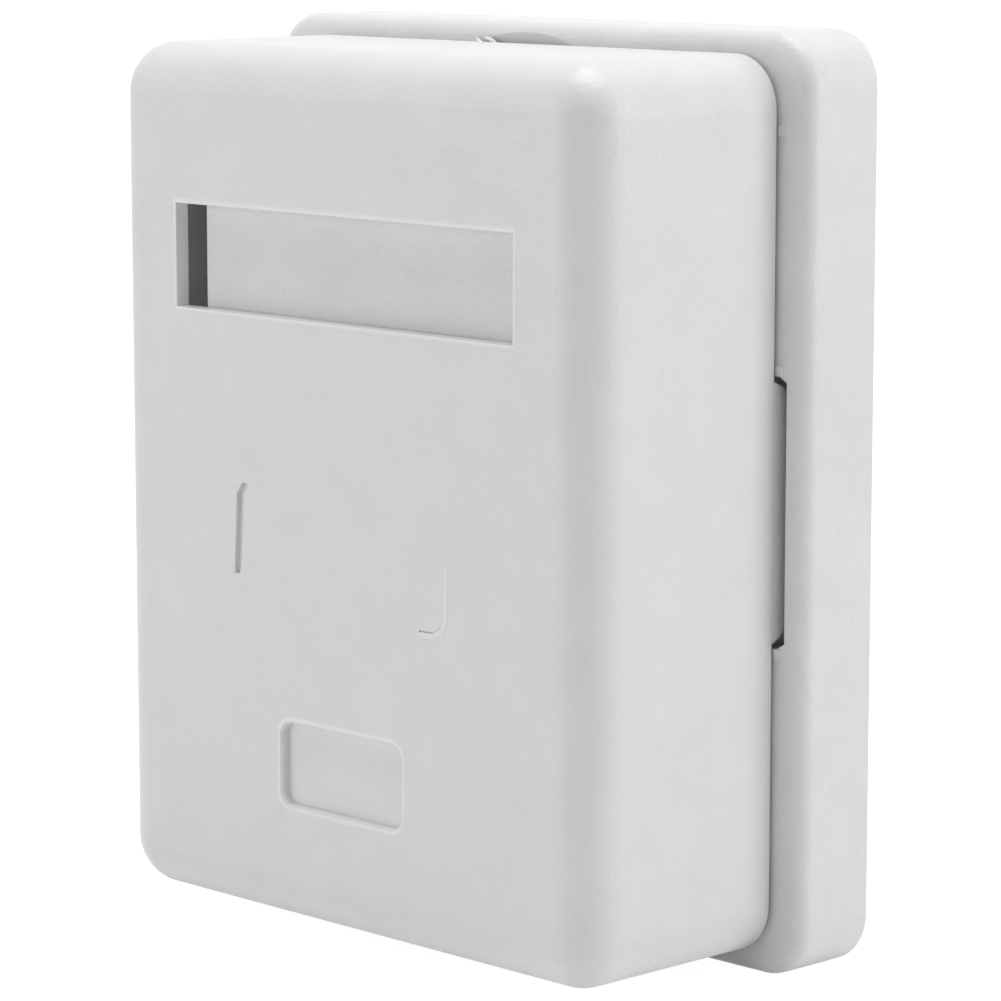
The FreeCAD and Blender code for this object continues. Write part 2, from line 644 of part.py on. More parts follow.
def base_spigot(body):
    """The wall that the cover slides over, with its sill under the jack and its snap beads."""
    wall = front_sketch(body, "spigot", "base_depth")
    centred(wall, SPIGOT_HALF, "-" + SPIGOT_END, SPIGOT_END)
    centred(wall, ROOM_HALF, "-" + ROOM_END, ROOM_END)
    pad(body, wall, "spigot_rise")
    ledge = -size_of("base_depth")
    top = ledge - size_of("spigot_rise")
    inset = total("cover_wall", "spigot_clear")
    half_width = size_of("cover_width") / 2 - inset
    half_height = size_of("cover_height") / 2 - inset
    thick = size_of("spigot_wall")
    fillet(body, "spigot_corners", "cover_corner - cover_wall - spigot_clear",
           lambda edge: edge.along_depth_between(top, ledge)
           and edge.at_corner(half_width, half_height))
    fillet(body, "room_corners", "(cover_corner - cover_wall - spigot_clear) / 2",
           lambda edge: edge.along_depth_between(top, ledge)
           and edge.at_corner(half_width - thick, half_height - thick))

    sill = front_sketch(body, "jack_sill", "base_depth")
    centred(sill, "jack_width / 2", MOUTH, "spigot_wall / 2 - " + SPIGOT_END)
    pad(body, sill, "post_rise + board_thick - jack_play")

    beads = front_sketch(body, "snap_beads", "base_depth + spigot_rise - bead_drop - bead_tall")
    for sign in ("", "-"):
        rectangle(beads, "%s(%s - spigot_wall / 2)" % (sign, SPIGOT_HALF),
                  "%s(%s + bead_rise)" % (sign, SPIGOT_HALF), "-bead_long / 2", "bead_long / 2")
    pad(body, beads, "bead_tall")


def base_ledge(body):
    """Side slots, the pry scoop at the top and the small nubs that centre the rim."""
    slots = front_sketch(body, "side_slots", "base_depth + rim_gap")
    inner = "(%s)" % SPIGOT_HALF
    edge = "(cover_width / 2)"
    outer = "(cover_width / 2 + slot_reach)"
    half = "(slot_long / 2)"
    for sign in ("", "-"):
        polygon(slots, [
            (sign + inner, "-(%s + slot_bevel)" % half),
            (sign + edge, "-(%s + slot_bevel)" % half),
            (sign + outer, "-" + half),
            (sign + outer, half),
            (sign + edge, half + " + slot_bevel"),
            (sign + inner, half + " + slot_bevel"),
        ])
    pocket(body, slots, "base_depth + rim_gap - slot_floor")

    wide = size_of("scoop_width") / 2
    rim = size_of("cover_height") / 2
    rise = size_of("scoop_rise")
    taper = size_of("scoop_taper")
    mouth = front_sketch(body, "scoop_mouth", "base_depth")
    arched(mouth, "(scoop_width / 2)", SPIGOT_END, "(cover_height / 2)", "scoop_rise",
           (wide, rim, rise))
    floor = front_sketch(body, "scoop_floor", "base_depth - scoop_depth")
    arched(floor, "(scoop_width * scoop_taper / 2)", SPIGOT_END,
           "(cover_height / 2 - scoop_rise * scoop_taper)", "(scoop_rise * scoop_taper)",
           (wide * taper, rim - rise * taper, rise * taper))
    before = volume(body)
    scoop = body.newObject("PartDesign::SubtractiveLoft", "pry_scoop")
    scoop.Profile = mouth
    scoop.Sections = [floor]
    scoop.Ruled = True
    doc.recompute()
    if volume(body) >= before - MATCH:
        raise ValueError("the pry scoop cuts nothing")

    nubs = front_sketch(body, "ledge_nubs", "base_depth - nub_rise")
    for sign in ("", "-"):
        for level in ("-rib_level", "rib_level", "nub_level"):
            rectangle(nubs, "%s(cover_width / 2 - nub_wide / 3)" % sign,
                      "%s(cover_width / 2 + nub_wide * 2 / 3)" % sign,
                      "%s - nub_tall / 2" % level, "%s + nub_tall / 2" % level)
    pad(body, nubs, "nub_rise * 2")


def base_fixings(body):
    """Wall screw bosses, cable entry, tie lugs, and the posts that carry the board."""
    screw_side = "(%s - screw_inset_side)" % ROOM_HALF
    screw_end = "(%s - screw_inset_end)" % ROOM_END
    bosses = front_sketch(body, "screw_bosses", "0")
    holes = front_sketch(body, "screw_holes", "base_depth")
    for side in ("", "-"):
        for end in ("", "-"):
            circle(bosses, side + screw_side, end + screw_end, "screw_boss")
            circle(holes, side + screw_side, end + screw_end, "screw_hole")
    pad(body, bosses, FLOOR_BACK)
    pocket(body, holes, "base_depth")

    entry = front_sketch(body, "cable_entry", "base_depth")
    centred(entry, "cable_width / 2", CABLE_LOW, CABLE_LOW + " + cable_height")
    pocket(body, entry, "base_wall * 1.5")
    ledge = -size_of("base_depth")
    back = ledge + size_of("base_wall")
    reach = size_of("cable_width") / 2
    fillet(body, "cable_corners", "cable_corner",
           lambda edge: edge.along_depth_between(ledge, back) and near(abs(edge.left), reach))

    lug_left = "(cable_width / 2 + lug_gap)"
    lug_middle = "(%s + cable_height / 2)" % CABLE_LOW
    lugs = front_sketch(body, "tie_lugs", "base_depth")
    eyes = front_sketch(body, "tie_eyes", "base_depth + (lug_rise + lug_eye_rise) / 2")
    for sign in ("", "-"):
        rectangle(lugs, sign + lug_left, "%s(%s + lug_width)" % (sign, lug_left),
                  lug_middle + " - lug_tall / 2", lug_middle + " + lug_tall / 2")
        rectangle(eyes, "%s(%s - lug_width / 2)" % (sign, lug_left),
                  "%s(%s + lug_width * 1.5)" % (sign, lug_left),
                  lug_middle + " - lug_eye_tall / 2", lug_middle + " + lug_eye_tall / 2")
    pad(body, lugs, "lug_rise")
    pocket(body, eyes, "lug_eye_rise")

    posts = front_sketch(body, "board_posts", "base_depth")
    pins = front_sketch(body, "board_pins", BOARD_BACK)
    pilots = front_sketch(body, "board_pilots", BOARD_BACK)
    for sign in ("", "-"):
        circle(posts, sign + POST_SIDE, POST_LOW, "post_size")
        circle(posts, sign + POST_SIDE, POST_HIGH, "post_size")
        circle(pins, sign + POST_SIDE, POST_LOW, "pin_size")
        circle(pilots, sign + POST_SIDE, POST_HIGH, "pilot_size")
    pad(body, posts, "post_rise")
    pad(body, pins, "board_thick + pin_size / 4")
    pocket(body, pilots, "pilot_depth")


def base():
    body = new_body("base")
    base_dish(body)
    base_spigot(body)
    base_ledge(body)
    base_fixings(body)


# ---------------------------------------------------------------- circuit board


def contact_across(number):
    """Place of one spring contact, counted from the left."""
    return "(contact_pitch * %s)" % (number - (CONTACTS - 1) / 2)


def tail_level(number):
    """The solder tails stand in two rows, turn about."""
    return "(%s - tail_back - tail_step * %d)" % (JACK_BACK, number % 2)


def wire_level(number):
    """Height of one wire slot on a connecting block."""
    return "(%s + wire_pitch * %s)" % (BLOCK_MIDDLE, number - (WIRES_A_BLOCK - 1) / 2)


def circuit_board():
    """The board, drilled for the jack, the blades, its screws and its pins."""
    body = new_body("circuit_board")
    outline = front_sketch(body, "board_outline", BOARD_BACK)
    centred(outline, "board_width / 2", BOARD_LOW, BOARD_HIGH)
    pad(body, outline, "board_thick")
    fillet(body, "board_corners", "board_corner", lambda edge: edge.along_depth())
    drill = front_sketch(body, "board_holes", BOARD_FRONT)
    for sign in ("", "-"):
        circle(drill, sign + POST_SIDE, POST_LOW, "pin_size + pin_play * 2")
        circle(drill, sign + POST_SIDE, POST_HIGH, "screw_pass")
        circle(drill, sign + "peg_side", "%s + peg_back" % MOUTH, "peg_size + peg_play * 2")
        for number in range(WIRES_A_BLOCK):
            octagon(drill, sign + BLOCK_SIDE, wire_level(number), "tail_hole")
    for number in range(CONTACTS):
        octagon(drill, contact_across(number), tail_level(number), "tail_hole")
    pocket(body, drill, "board_thick * 1.5")


def board_screw(name, sign):
    """A pan head screw with a cross recess."""
    body = doc.addObject("PartDesign::Body", name)
    body.Label = name
    head = front_sketch(body, name + "_head", BOARD_FRONT)
    circle(head, sign + POST_SIDE, POST_HIGH, "screw_head")
    pad(body, head, "screw_head_rise")
    top = -total("base_depth", "post_rise", "board_thick", "screw_head_rise")
    bevel(body, name + "_crown", "screw_crown", lambda edge: edge.in_plane_y(top))
    shank = front_sketch(body, name + "_shank", BOARD_FRONT)
    circle(shank, sign + POST_SIDE, POST_HIGH, "screw_shank")
    pad(body, shank, "screw_length", backwards=True)
    cross = front_sketch(body, name + "_cross", "%s + screw_head_rise" % BOARD_FRONT)
    along = "cross_span / 2"
    across = "cross_width / 2"
    middle = (sign + POST_SIDE, POST_HIGH)
    turns = [(along, across), (across, across), (across, along)]
    corners = []
    for flip_x, flip_z in ((1, 1), (-1, 1), (-1, -1), (1, -1)):
        order = turns if flip_x * flip_z > 0 else turns[::-1]
        for step_x, step_z in order:
            corners.append(("%s + %d * %s" % (middle[0], flip_x, step_x),
                            "%s + %d * %s" % (middle[1], flip_z, step_z)))
    polygon(cross, corners)
    pocket(body, cross, "cross_depth")
    return body


def board_screws():
    group = doc.addObject("Part::Compound", "board_screws")
    group.Label = "board_screws"
    group.Links = [board_screw("left_board_screw", "-"), board_screw("right_board_screw", "")]
    nodes.append(group)


# ---------------------------------------------------------------- eight-way jack


def jack_housing():
    """The moulded jack: plug cavity with its stepped latch channel, contact comb and pegs."""
    body = new_body("jack_housing")
    outline = front_sketch(body, "jack_outline", BOARD_FRONT)
    centred(outline, "jack_width / 2", MOUTH, JACK_BACK)
    pad(body, outline, "jack_rise")

    cavity = new_sketch(body, "plug_cavity", "XY_Plane", "%s + mouth_deep" % MOUTH)
    floor = "-" + CAVITY_FLOOR
    roof = "(%s - mouth_tall)" % floor
    latch = "(%s - latch_tall)" % roof
    key = "(%s - latch_key_tall)" % latch
    polygon(cavity, [
        ("mouth_width / 2", floor), ("mouth_width / 2", roof),
        ("latch_width / 2", roof), ("latch_width / 2", latch),
        ("latch_key_width / 2", latch), ("latch_key_width / 2", key),
        ("-latch_key_width / 2", key), ("-latch_key_width / 2", latch),
        ("-latch_width / 2", latch), ("-latch_width / 2", roof),
        ("-mouth_width / 2", roof), ("-mouth_width / 2", floor),
    ])
    pocket(body, cavity, "mouth_deep * 1.1")

    comb = front_sketch(body, "contact_comb", CAVITY_FLOOR + " + contact_thick")
    for number in range(CONTACTS):
        left = "%s - contact_slot / 2" % contact_across(number)
        right = "%s + contact_slot / 2" % contact_across(number)
        rectangle(comb, left, right, "%s + contact_front - contact_slot" % MOUTH,
                  "%s - tail_back + contact_slot" % JACK_BACK)
    pocket(body, comb, "mouth_floor * 1.5 + contact_thick")

    pegs = front_sketch(body, "jack_pegs", BOARD_FRONT)
    for sign in ("", "-"):
        circle(pegs, sign + "peg_side", "%s + peg_back" % MOUTH, "peg_size")
    pad(body, pegs, "peg_reach", backwards=True)


def contact_stops(number):
    """Where the path of a spring contact turns, each level as a formula and as a number."""
    step = number % 2
    board = total("base_depth", "post_rise")
    front = board + size_of("board_thick")
    mouth = size_of("jack_recess") - size_of("cover_height") / 2
    back = mouth + size_of("jack_length")
    return {
        "tail": ("-(%s - tail_reach)" % BOARD_BACK, size_of("tail_reach") - board),
        "run": ("-(%s + contact_run)" % BOARD_FRONT, -front - size_of("contact_run")),
        "tip": ("-(%s + contact_tip_rise)" % CAVITY_FLOOR,
                -front - total("mouth_floor", "contact_tip_rise")),
        "level": (tail_level(number),
                  back - size_of("tail_back") - size_of("tail_step") * step),
        "turn": ("(%s + contact_front + contact_fold / 2)" % MOUTH,
                 mouth + size_of("contact_front") + size_of("contact_fold") / 2),
        "end": ("(%s - contact_tip_back)" % JACK_BACK, back - size_of("contact_tip_back")),
        "bend": ("contact_bend", size_of("contact_bend")),
        "fold": ("contact_fold", size_of("contact_fold")),
    }


def contact_path(path, number):
    """Tail, bend, run, hairpin and tip: three lines and two arcs, drawn in their places."""
    stops = contact_stops(number)

    def spot(across, up, less_across=None, less_up=None):
        """A corner: two formulas and two numbers, each with another length taken off or added."""
        texts = [stops[across][0], stops[up][0]]
        numbers = [stops[across][1], stops[up][1]]
        for index, extra in enumerate((less_across, less_up)):
            if extra:
                texts[index] += " %s %s" % (extra[0], stops[extra[1:]][0])
                numbers[index] += stops[extra[1:]][1] * (1 if extra[0] == "+" else -1)
        return texts, numbers

    tail_end = spot("tail", "level")
    bend_start = spot("run", "level", "+bend")
    bend_end = spot("run", "level", None, "-bend")
    fold_start = spot("run", "turn")
    fold_end = spot("run", "turn", "-fold")
    tip_end = spot("tip", "end")
    bend_middle = (bend_start[1][0], bend_end[1][1])
    fold_middle = ((fold_start[1][0] + fold_end[1][0]) / 2, fold_start[1][1])

    def line(first, last):
        ends = [FreeCAD.Vector(first[1][0], first[1][1], 0), FreeCAD.Vector(last[1][0], last[1][1], 0)]
        index = path.addGeometry(Part.LineSegment(ends[0], ends[1]), False)
        place(path, index, 1, first[0][0], first[0][1], first[1])
        place(path, index, 2, last[0][0], last[0][1], last[1])

    def arc(first, last, middle, middle_up, size, start):
        over = Part.Circle(FreeCAD.Vector(middle[0], middle[1], 0), FreeCAD.Vector(0, 0, 1), size)
        sweep = math.pi / 2 if start < math.pi else math.pi
        index = path.addGeometry(Part.ArcOfCircle(over, start, start + sweep), False)
        place(path, index, 1, first[0][0], first[0][1], first[1])
        place(path, index, 2, last[0][0], last[0][1], last[1])
        level = path.addConstraint(Sketcher.Constraint("DistanceY", -1, 1, index, 3, middle[1]))
        path.setExpression("Constraints[%d]" % level, formula(middle_up))

    line(tail_end, bend_start)
    arc(bend_start, bend_end, bend_middle, bend_end[0][1], stops["bend"][1], math.pi / 2)
    line(bend_end, fold_start)
    arc(fold_end, fold_start, fold_middle, fold_start[0][1], stops["fold"][1] / 2, math.pi)
    line(fold_end, tip_end)
    return ["Edge%d" % (edge + 1) for edge in range(5)]


def jack_contact(number):
    """One gilt spring wire: solder tail, run along the board, front hairpin and sloping tip."""
    label = "jack_contact_%d" % (number + 1)
    body = new_body(label)
    half = "contact_thick / 2"
    path = new_sketch(body, label + "_path", "YZ_Plane", contact_across(number))
    edges = contact_path(path, number)
    section = front_sketch(body, label + "_section", "%s - tail_reach" % BOARD_BACK)
    middle = contact_across(number)
    rectangle(section, middle + " - contact_width / 2", middle + " + contact_width / 2",
              "%s - %s" % (tail_level(number), half), "%s + %s" % (tail_level(number), half))
    doc.recompute()
    wire = body.newObject("PartDesign::AdditivePipe", label + "_wire")
    wire.Profile = section
    wire.Spine = (path, edges)
    wire.Transition = "Right corner"
    doc.recompute()
    if volume(body) < MATCH:
        raise ValueError(label + " has no wire")


# ---------------------------------------------------------------- connecting blocks


def idc_block(label, sign):
    """A block of five pillars with four wire slots, and a pocket for the blade in each."""
    body = new_body(label)
    middle = sign + BLOCK_SIDE
    low = "(%s - %s)" % (BLOCK_MIDDLE, BLOCK_HALF)
    high = "(%s + %s)" % (BLOCK_MIDDLE, BLOCK_HALF)
    foot = front_sketch(body, label + "_foot", BOARD_FRONT)
    rectangle(foot, middle + " - block_width / 2", middle + " + block_width / 2", low, high)
    pad(body, foot, "block_base")
    pillars = front_sketch(body, label + "_pillars", "%s + block_base" % BOARD_FRONT)
    for number in range(WIRES_A_BLOCK + 1):
        start = "(%s + wire_pitch * %d)" % (low, number)
        rectangle(pillars, middle + " - block_width / 2", middle + " + block_width / 2",
                  start, start + " + pillar_tall")
    pad(body, pillars, "block_rise - block_base")
    top = -total("base_depth", "post_rise", "board_thick", "block_rise")
    bevel(body, label + "_points", "pillar_bevel",
          lambda edge: edge.in_plane_y(top) and near(edge.low, edge.high))
    pockets = front_sketch(body, label + "_blade_pockets", "%s + block_rise" % BOARD_FRONT)
    for number in range(WIRES_A_BLOCK):
        level = wire_level(number)
        rectangle(pockets, middle + " - blade_thick / 2 - blade_play",
                  middle + " + blade_thick / 2 + blade_play",
                  level + " - blade_tall / 2 - blade_play", level + " + blade_tall / 2 + blade_play")
    pocket(body, pockets, "block_rise * 1.2")


def idc_contact(number):
    """One blade: a flat fork that cuts through a wire's insulation, and its solder tail."""
    label = "idc_contact_%d" % (number + 1)
    body = new_body(label)
    sign = "-" if number < WIRES_A_BLOCK else ""
    level = wire_level(number % WIRES_A_BLOCK)
    outline = new_sketch(body, label + "_outline", "YZ_Plane",
                         "%s%s - blade_thick / 2" % (sign, BLOCK_SIDE))
    foot = "-(%s + blade_play)" % BOARD_FRONT
    tip = "-(%s + blade_rise)" % BOARD_FRONT
    tail = "-(%s - tail_reach)" % BOARD_BACK
    side = "blade_tall / 2"
    polygon(outline, [
        (tip, "%s - %s" % (level, side)),
        (tip, level + " - blade_mouth / 2"),
        (tip + " + blade_mouth_deep", level + " - blade_slot / 2"),
        (tip + " + blade_slot_deep", level + " - blade_slot / 2"),
        (tip + " + blade_slot_deep", level + " + blade_slot / 2"),
        (tip + " + blade_mouth_deep", level + " + blade_slot / 2"),
        (tip, level + " + blade_mouth / 2"),
        (tip, "%s + %s" % (level, side)),
        (foot, "%s + %s" % (level, side)),
        (foot, level + " + blade_tail / 2"),
        (tail, level + " + blade_tail / 2"),
        (tail, level + " - blade_tail / 2"),
        (foot, level + " - blade_tail / 2"),
        (foot, "%s - %s" % (level, side)),
    ])
    pad(body, outline, "blade_thick")


def idc_cap(label, sign):
    """A cap that pushes the wires home: roof, skirt with wire slots, and pressers inside."""
    body = new_body(label)
    middle = sign + BLOCK_SIDE
    half_width = "(block_width / 2 + cap_play + cap_wall)"
    half_long = "(%s + cap_play + cap_wall)" % BLOCK_HALF
    roof = "(%s + block_rise + cap_play)" % BOARD_FRONT
    outline = front_sketch(body, label + "_outline", roof + " - cap_skirt")
    rectangle(outline, "%s - %s" % (middle, half_width), "%s + %s" % (middle, half_width),
              "%s - %s" % (BLOCK_MIDDLE, half_long), "%s + %s" % (BLOCK_MIDDLE, half_long))
    pad(body, outline, "cap_skirt + cap_wall")
    top = -total("base_depth", "post_rise", "board_thick", "block_rise", "cap_play", "cap_wall")
    bevel(body, label + "_edges", "cap_edge",
          lambda edge: edge.in_plane_y(top) or edge.along_depth())
    hollow = front_sketch(body, label + "_hollow", roof)
    rectangle(hollow, "%s - %s + cap_wall" % (middle, half_width),
              "%s + %s - cap_wall" % (middle, half_width),
              "%s - %s + cap_wall" % (BLOCK_MIDDLE, half_long),
              "%s + %s - cap_wall" % (BLOCK_MIDDLE, half_long))
    pocket(body, hollow, "cap_skirt * 1.2")
    slots = front_sketch(body, label + "_slots", roof + " - cap_skirt + cap_slot_deep")
    pressers = front_sketch(body, label + "_pressers", roof)
    for number in range(WIRES_A_BLOCK):
        level = wire_level(number)
        rectangle(slots, "%s - %s - cap_wall" % (middle, half_width),
                  "%s + %s + cap_wall" % (middle, half_width),
                  level + " - cap_slot / 2", level + " + cap_slot / 2")
        for side in ("-", "+"):
            edge = "%s %s (block_width / 2 - presser_long)" % (middle, side)
            rectangle(pressers, edge, "%s %s presser_long" % (edge, side),
                      level + " - presser_thick / 2", level + " + presser_thick / 2")
    pocket(body, slots, "cap_slot_deep * 1.2")
    pad(body, pressers, "presser_deep", backwards=True)


# ---------------------------------------------------------------- build, check and write

front_cover()
label_plate()
base()
circuit_board()
board_screws()
jack_housing()
for way in range(CONTACTS):
    jack_contact(way)
idc_block("idc_block_left", "-")
idc_block("idc_block_right", "")
for way in range(CONTACTS):
    idc_contact(way)
idc_cap("idc_cap_left", "-")
idc_cap("idc_cap_right", "")
doc.recompute()

for item in doc.Objects:
    if "Invalid" in item.State or "Error" in item.State:
        raise ValueError("%s is in state %s" % (item.Name, item.State))
for item in nodes:
    if item.Shape.isNull() or not item.Shape.isValid():
        raise ValueError(item.Label + " has no valid shape")

os.makedirs("parts", exist_ok=True)
for item in nodes:
    item.Shape.exportStep("parts/%s.step" % item.Label)
    box = item.Shape.BoundBox
    print("%-18s solids %d volume %9.2f  X %7.2f %7.2f  Y %7.2f %7.2f  Z %7.2f %7.2f" % (
        item.Label, len(item.Shape.Solids), item.Shape.Volume,
        box.XMin, box.XMax, box.YMin, box.YMax, box.ZMin, box.ZMax))
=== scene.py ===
# %% [markdown]
# # Surface mount jack box: looks
# This lesson dresses a small white box that is screwed to a wall and holds one data socket. The
# CAD model gives every solid its place. The cells below give each plastic, metal and label its
# finish, add what is too thin to be a solid of its own, and set up a quiet studio round the box.

# %% Load the frame
import bpy
import bmesh
import math
import numpy as np
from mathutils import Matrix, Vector


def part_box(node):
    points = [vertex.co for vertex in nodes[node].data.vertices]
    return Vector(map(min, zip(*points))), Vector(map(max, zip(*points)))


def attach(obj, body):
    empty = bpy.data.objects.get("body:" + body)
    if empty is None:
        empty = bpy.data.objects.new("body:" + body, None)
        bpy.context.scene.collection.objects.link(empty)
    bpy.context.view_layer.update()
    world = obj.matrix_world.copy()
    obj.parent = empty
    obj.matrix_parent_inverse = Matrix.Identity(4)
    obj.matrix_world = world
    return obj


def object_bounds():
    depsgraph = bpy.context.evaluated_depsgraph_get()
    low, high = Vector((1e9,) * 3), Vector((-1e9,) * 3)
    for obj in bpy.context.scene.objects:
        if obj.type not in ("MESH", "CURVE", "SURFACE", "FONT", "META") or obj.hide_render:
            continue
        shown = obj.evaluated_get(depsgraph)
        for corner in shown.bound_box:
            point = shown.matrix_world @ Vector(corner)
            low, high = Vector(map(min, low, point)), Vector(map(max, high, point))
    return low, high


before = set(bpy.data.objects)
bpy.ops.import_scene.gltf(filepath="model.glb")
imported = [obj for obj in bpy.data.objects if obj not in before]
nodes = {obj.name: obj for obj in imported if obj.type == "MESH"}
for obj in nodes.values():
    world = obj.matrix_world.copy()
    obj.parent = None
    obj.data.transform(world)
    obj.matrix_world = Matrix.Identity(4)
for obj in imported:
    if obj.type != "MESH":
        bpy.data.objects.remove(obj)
cad_box = [list(corner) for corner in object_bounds()]
MM = 0.001
scene = bpy.context.scene


def in_mm(box):
    """The two corners of a box in millimetres, rounded for printing."""
    return [[round(value / MM, 2) for value in corner] for corner in box]


print("frame of", len(nodes), "solids; box in mm:", in_mm(cad_box))

# %% [markdown]
# ## Camera
# A long lens from about 430 mm keeps the box's sides nearly parallel. The camera stands to the
# right of the front and a little above it, so the front, the right side and the top rim all show.
# Its place is worked out from two angles and a distance, which is easier to adjust than a point.

# %% Camera
# Angles in radians, lens and sensor in millimetres.
VIEW_TURN = 0.8012
VIEW_PITCH = 0.1523
VIEW_DISTANCE = 432.63 * MM
VIEW_TARGET = Vector((-13.31 * MM, 0.0, -4.9208 * MM))
LENS = 151.53
SENSOR = 36.0

towards_camera = Vector((math.sin(VIEW_TURN) * math.cos(VIEW_PITCH),
                         -math.cos(VIEW_TURN) * math.cos(VIEW_PITCH),
                         math.sin(VIEW_PITCH)))
camera_data = bpy.data.cameras.new("studio_camera")
camera_data.sensor_width = SENSOR
camera_data.lens = LENS
camera = bpy.data.objects.new("studio_camera", camera_data)
camera.location = VIEW_TARGET + towards_camera * VIEW_DISTANCE
camera.rotation_euler = (-towards_camera).to_track_quat("-Z", "Y").to_euler()
scene.collection.objects.link(camera)
scene.camera = camera
print("camera at", [round(v / MM, 1) for v in camera.location], "mm")

# %% [markdown]
# ## Colours and nodes
# Paint charts and screens give colours as sRGB hex values, but a renderer adds light in linear
# values, so one function turns the first into the second. Materials are graphs of nodes, and one
# small function adds any node with its settings and links, which keeps each graph readable.

# %% Colour and node helpers
def linear(hex_colour):
    """Turns an sRGB hex colour into linear values: c / 12.92, or ((c + 0.055) / 1.055) ** 2.4."""
    channels = np.array([int(hex_colour[i:i + 2], 16) for i in (0, 2, 4)]) / 255.0
    curve = np.where(channels <= 0.04045, channels / 12.92, ((channels + 0.055) / 1.055) ** 2.4)
    return tuple(float(c) for c in curve) + (1.0,)


def add_node(tree, kind, links=(), sockets=(), **settings):
    """Adds one node: its properties, socket values by name, and links (from_socket, to_name)."""
    node = tree.nodes.new(kind)
    for name, value in settings.items():
        setattr(node, name, value)
    for name, value in sockets:
        node.inputs[name].default_value = value
    for source, target in links:
        tree.links.new(source, node.inputs[target])
    return node


def empty_material(name):
    """A material with no nodes yet, and its tree."""
    material = bpy.data.materials.new(name)
    material.use_nodes = True
    material.node_tree.nodes.clear()
    return material, material.node_tree


print("mid grey 808080 is", round(linear("808080")[0], 3), "in linear light")

# %% [markdown]
# ## Lamps
# White plastic shows its form only by small steps of brightness, so the light is soft and comes
# from all round, with three large panels on top of it. One panel stands off to the front left,
# one behind the right side and one above, so that the rounded edge between front and side is the
# darkest part of the shell and the top rim is the brightest.

# %% Lamps
PANEL_DISTANCE = 0.9
PANEL_SIZE = 0.6
BOX_MIDDLE = Vector((0.0, -17 * MM, 0.0))


def panel(name, direction, power):
    """A square lamp that looks back at the middle of the box from the given direction."""
    lamp = bpy.data.lights.new(name, "AREA")
    lamp.shape = "SQUARE"
    lamp.size = PANEL_SIZE
    lamp.energy = power
    holder = bpy.data.objects.new(name, lamp)
    away = Vector(direction).normalized()
    holder.location = away * PANEL_DISTANCE + BOX_MIDDLE
    holder.rotation_euler = away.to_track_quat("Z", "Y").to_euler()
    scene.collection.objects.link(holder)


# Name, direction from the box and power in watts.
panel("left_panel", (-0.62, -0.78, 0.1), 2.45)
panel("right_panel", (0.84, 0.54, 0.12), 3.62)
panel("top_panel", (0.0, 0.0, 1.0), 6.8)
print("three panels", PANEL_SIZE, "m wide,", PANEL_DISTANCE, "m from the middle of the box")

# %% [markdown]
# ## World
# A white room fills in what the panels leave. Its level is low enough that a colour comes out
# about as it is written. It is pure white only for what the eye sees straight on or by
# reflection.

# %% World
def seen_directly(tree):
    """1 for rays that show a thing to the eye, by camera, mirror or glass; 0 for soft light."""
    rays = add_node(tree, "ShaderNodeLightPath")
    seen = add_node(tree, "ShaderNodeMath", [(rays.outputs["Is Camera Ray"], 0),
                                             (rays.outputs["Is Glossy Ray"], 1)],
                    operation="MAXIMUM")
    return add_node(tree, "ShaderNodeMath", [(seen.outputs[0], 0),
                                             (rays.outputs["Is Transmission Ray"], 1)],
                    operation="MAXIMUM").outputs[0]


AMBIENT = 0.286
world = bpy.data.worlds.new("white_studio")
world.use_nodes = True
scene.world = world
tree = world.node_tree
tree.nodes.clear()
level = add_node(tree, "ShaderNodeMapRange", [(seen_directly(tree), "Value")],
                 [("To Min", AMBIENT), ("To Max", 1.0)])
sky = add_node(tree, "ShaderNodeBackground", [(level.outputs["Result"], "Strength")],
               [("Color", linear("FFFFFF"))])
add_node(tree, "ShaderNodeOutputWorld", [(sky.outputs[0], "Surface")])
scene.view_settings.view_transform = "Standard"
print("soft light from all round at", AMBIENT)

# %% [markdown]
# ## Floor
# The box stands on its lower edge on a plain white sheet. Most of what the eye gets from the
# sheet is plain white, but a share of it is ordinary matt paper, so it still takes the box's
# soft shadow, and it throws light back up on the box as paper does.

# %% Floor
SHEET_HALF = 12.0
SHEET_GAP = 0.05 * MM
SHADOW_SHARE = 0.3
# Above 1, so that the glow and the matt share together come out as plain white.
SHEET_GLOW = 1.36

floor_level = cad_box[0][2] - SHEET_GAP
floor_mesh = bpy.data.meshes.new("floor_sheet")
floor_mesh.from_pydata([(SHEET_HALF * x, SHEET_HALF * y, floor_level)
                        for x, y in ((-1, -1), (1, -1), (1, 1), (-1, 1))], [], [(0, 1, 2, 3)])
floor_sheet = bpy.data.objects.new("floor_sheet", floor_mesh)
scene.collection.objects.link(floor_sheet)

paper, tree = empty_material("matt_white_floor_paper")
share = add_node(tree, "ShaderNodeMath", [(seen_directly(tree), 0)], [(1, 1.0 - SHADOW_SHARE)],
                 operation="MULTIPLY")
matt = add_node(tree, "ShaderNodeBsdfDiffuse", sockets=[("Color", linear("F3F3F3"))])
bright = add_node(tree, "ShaderNodeEmission",
                  sockets=[("Color", linear("FFFFFF")), ("Strength", SHEET_GLOW)])
mixed = add_node(tree, "ShaderNodeMixShader", [(share.outputs[0], 0), (matt.outputs[0], 1),
                                               (bright.outputs[0], 2)])
add_node(tree, "ShaderNodeOutputMaterial", [(mixed.outputs[0], "Surface")])
floor_mesh.materials.append(paper)
print("floor at", round(floor_level / MM, 2), "mm")

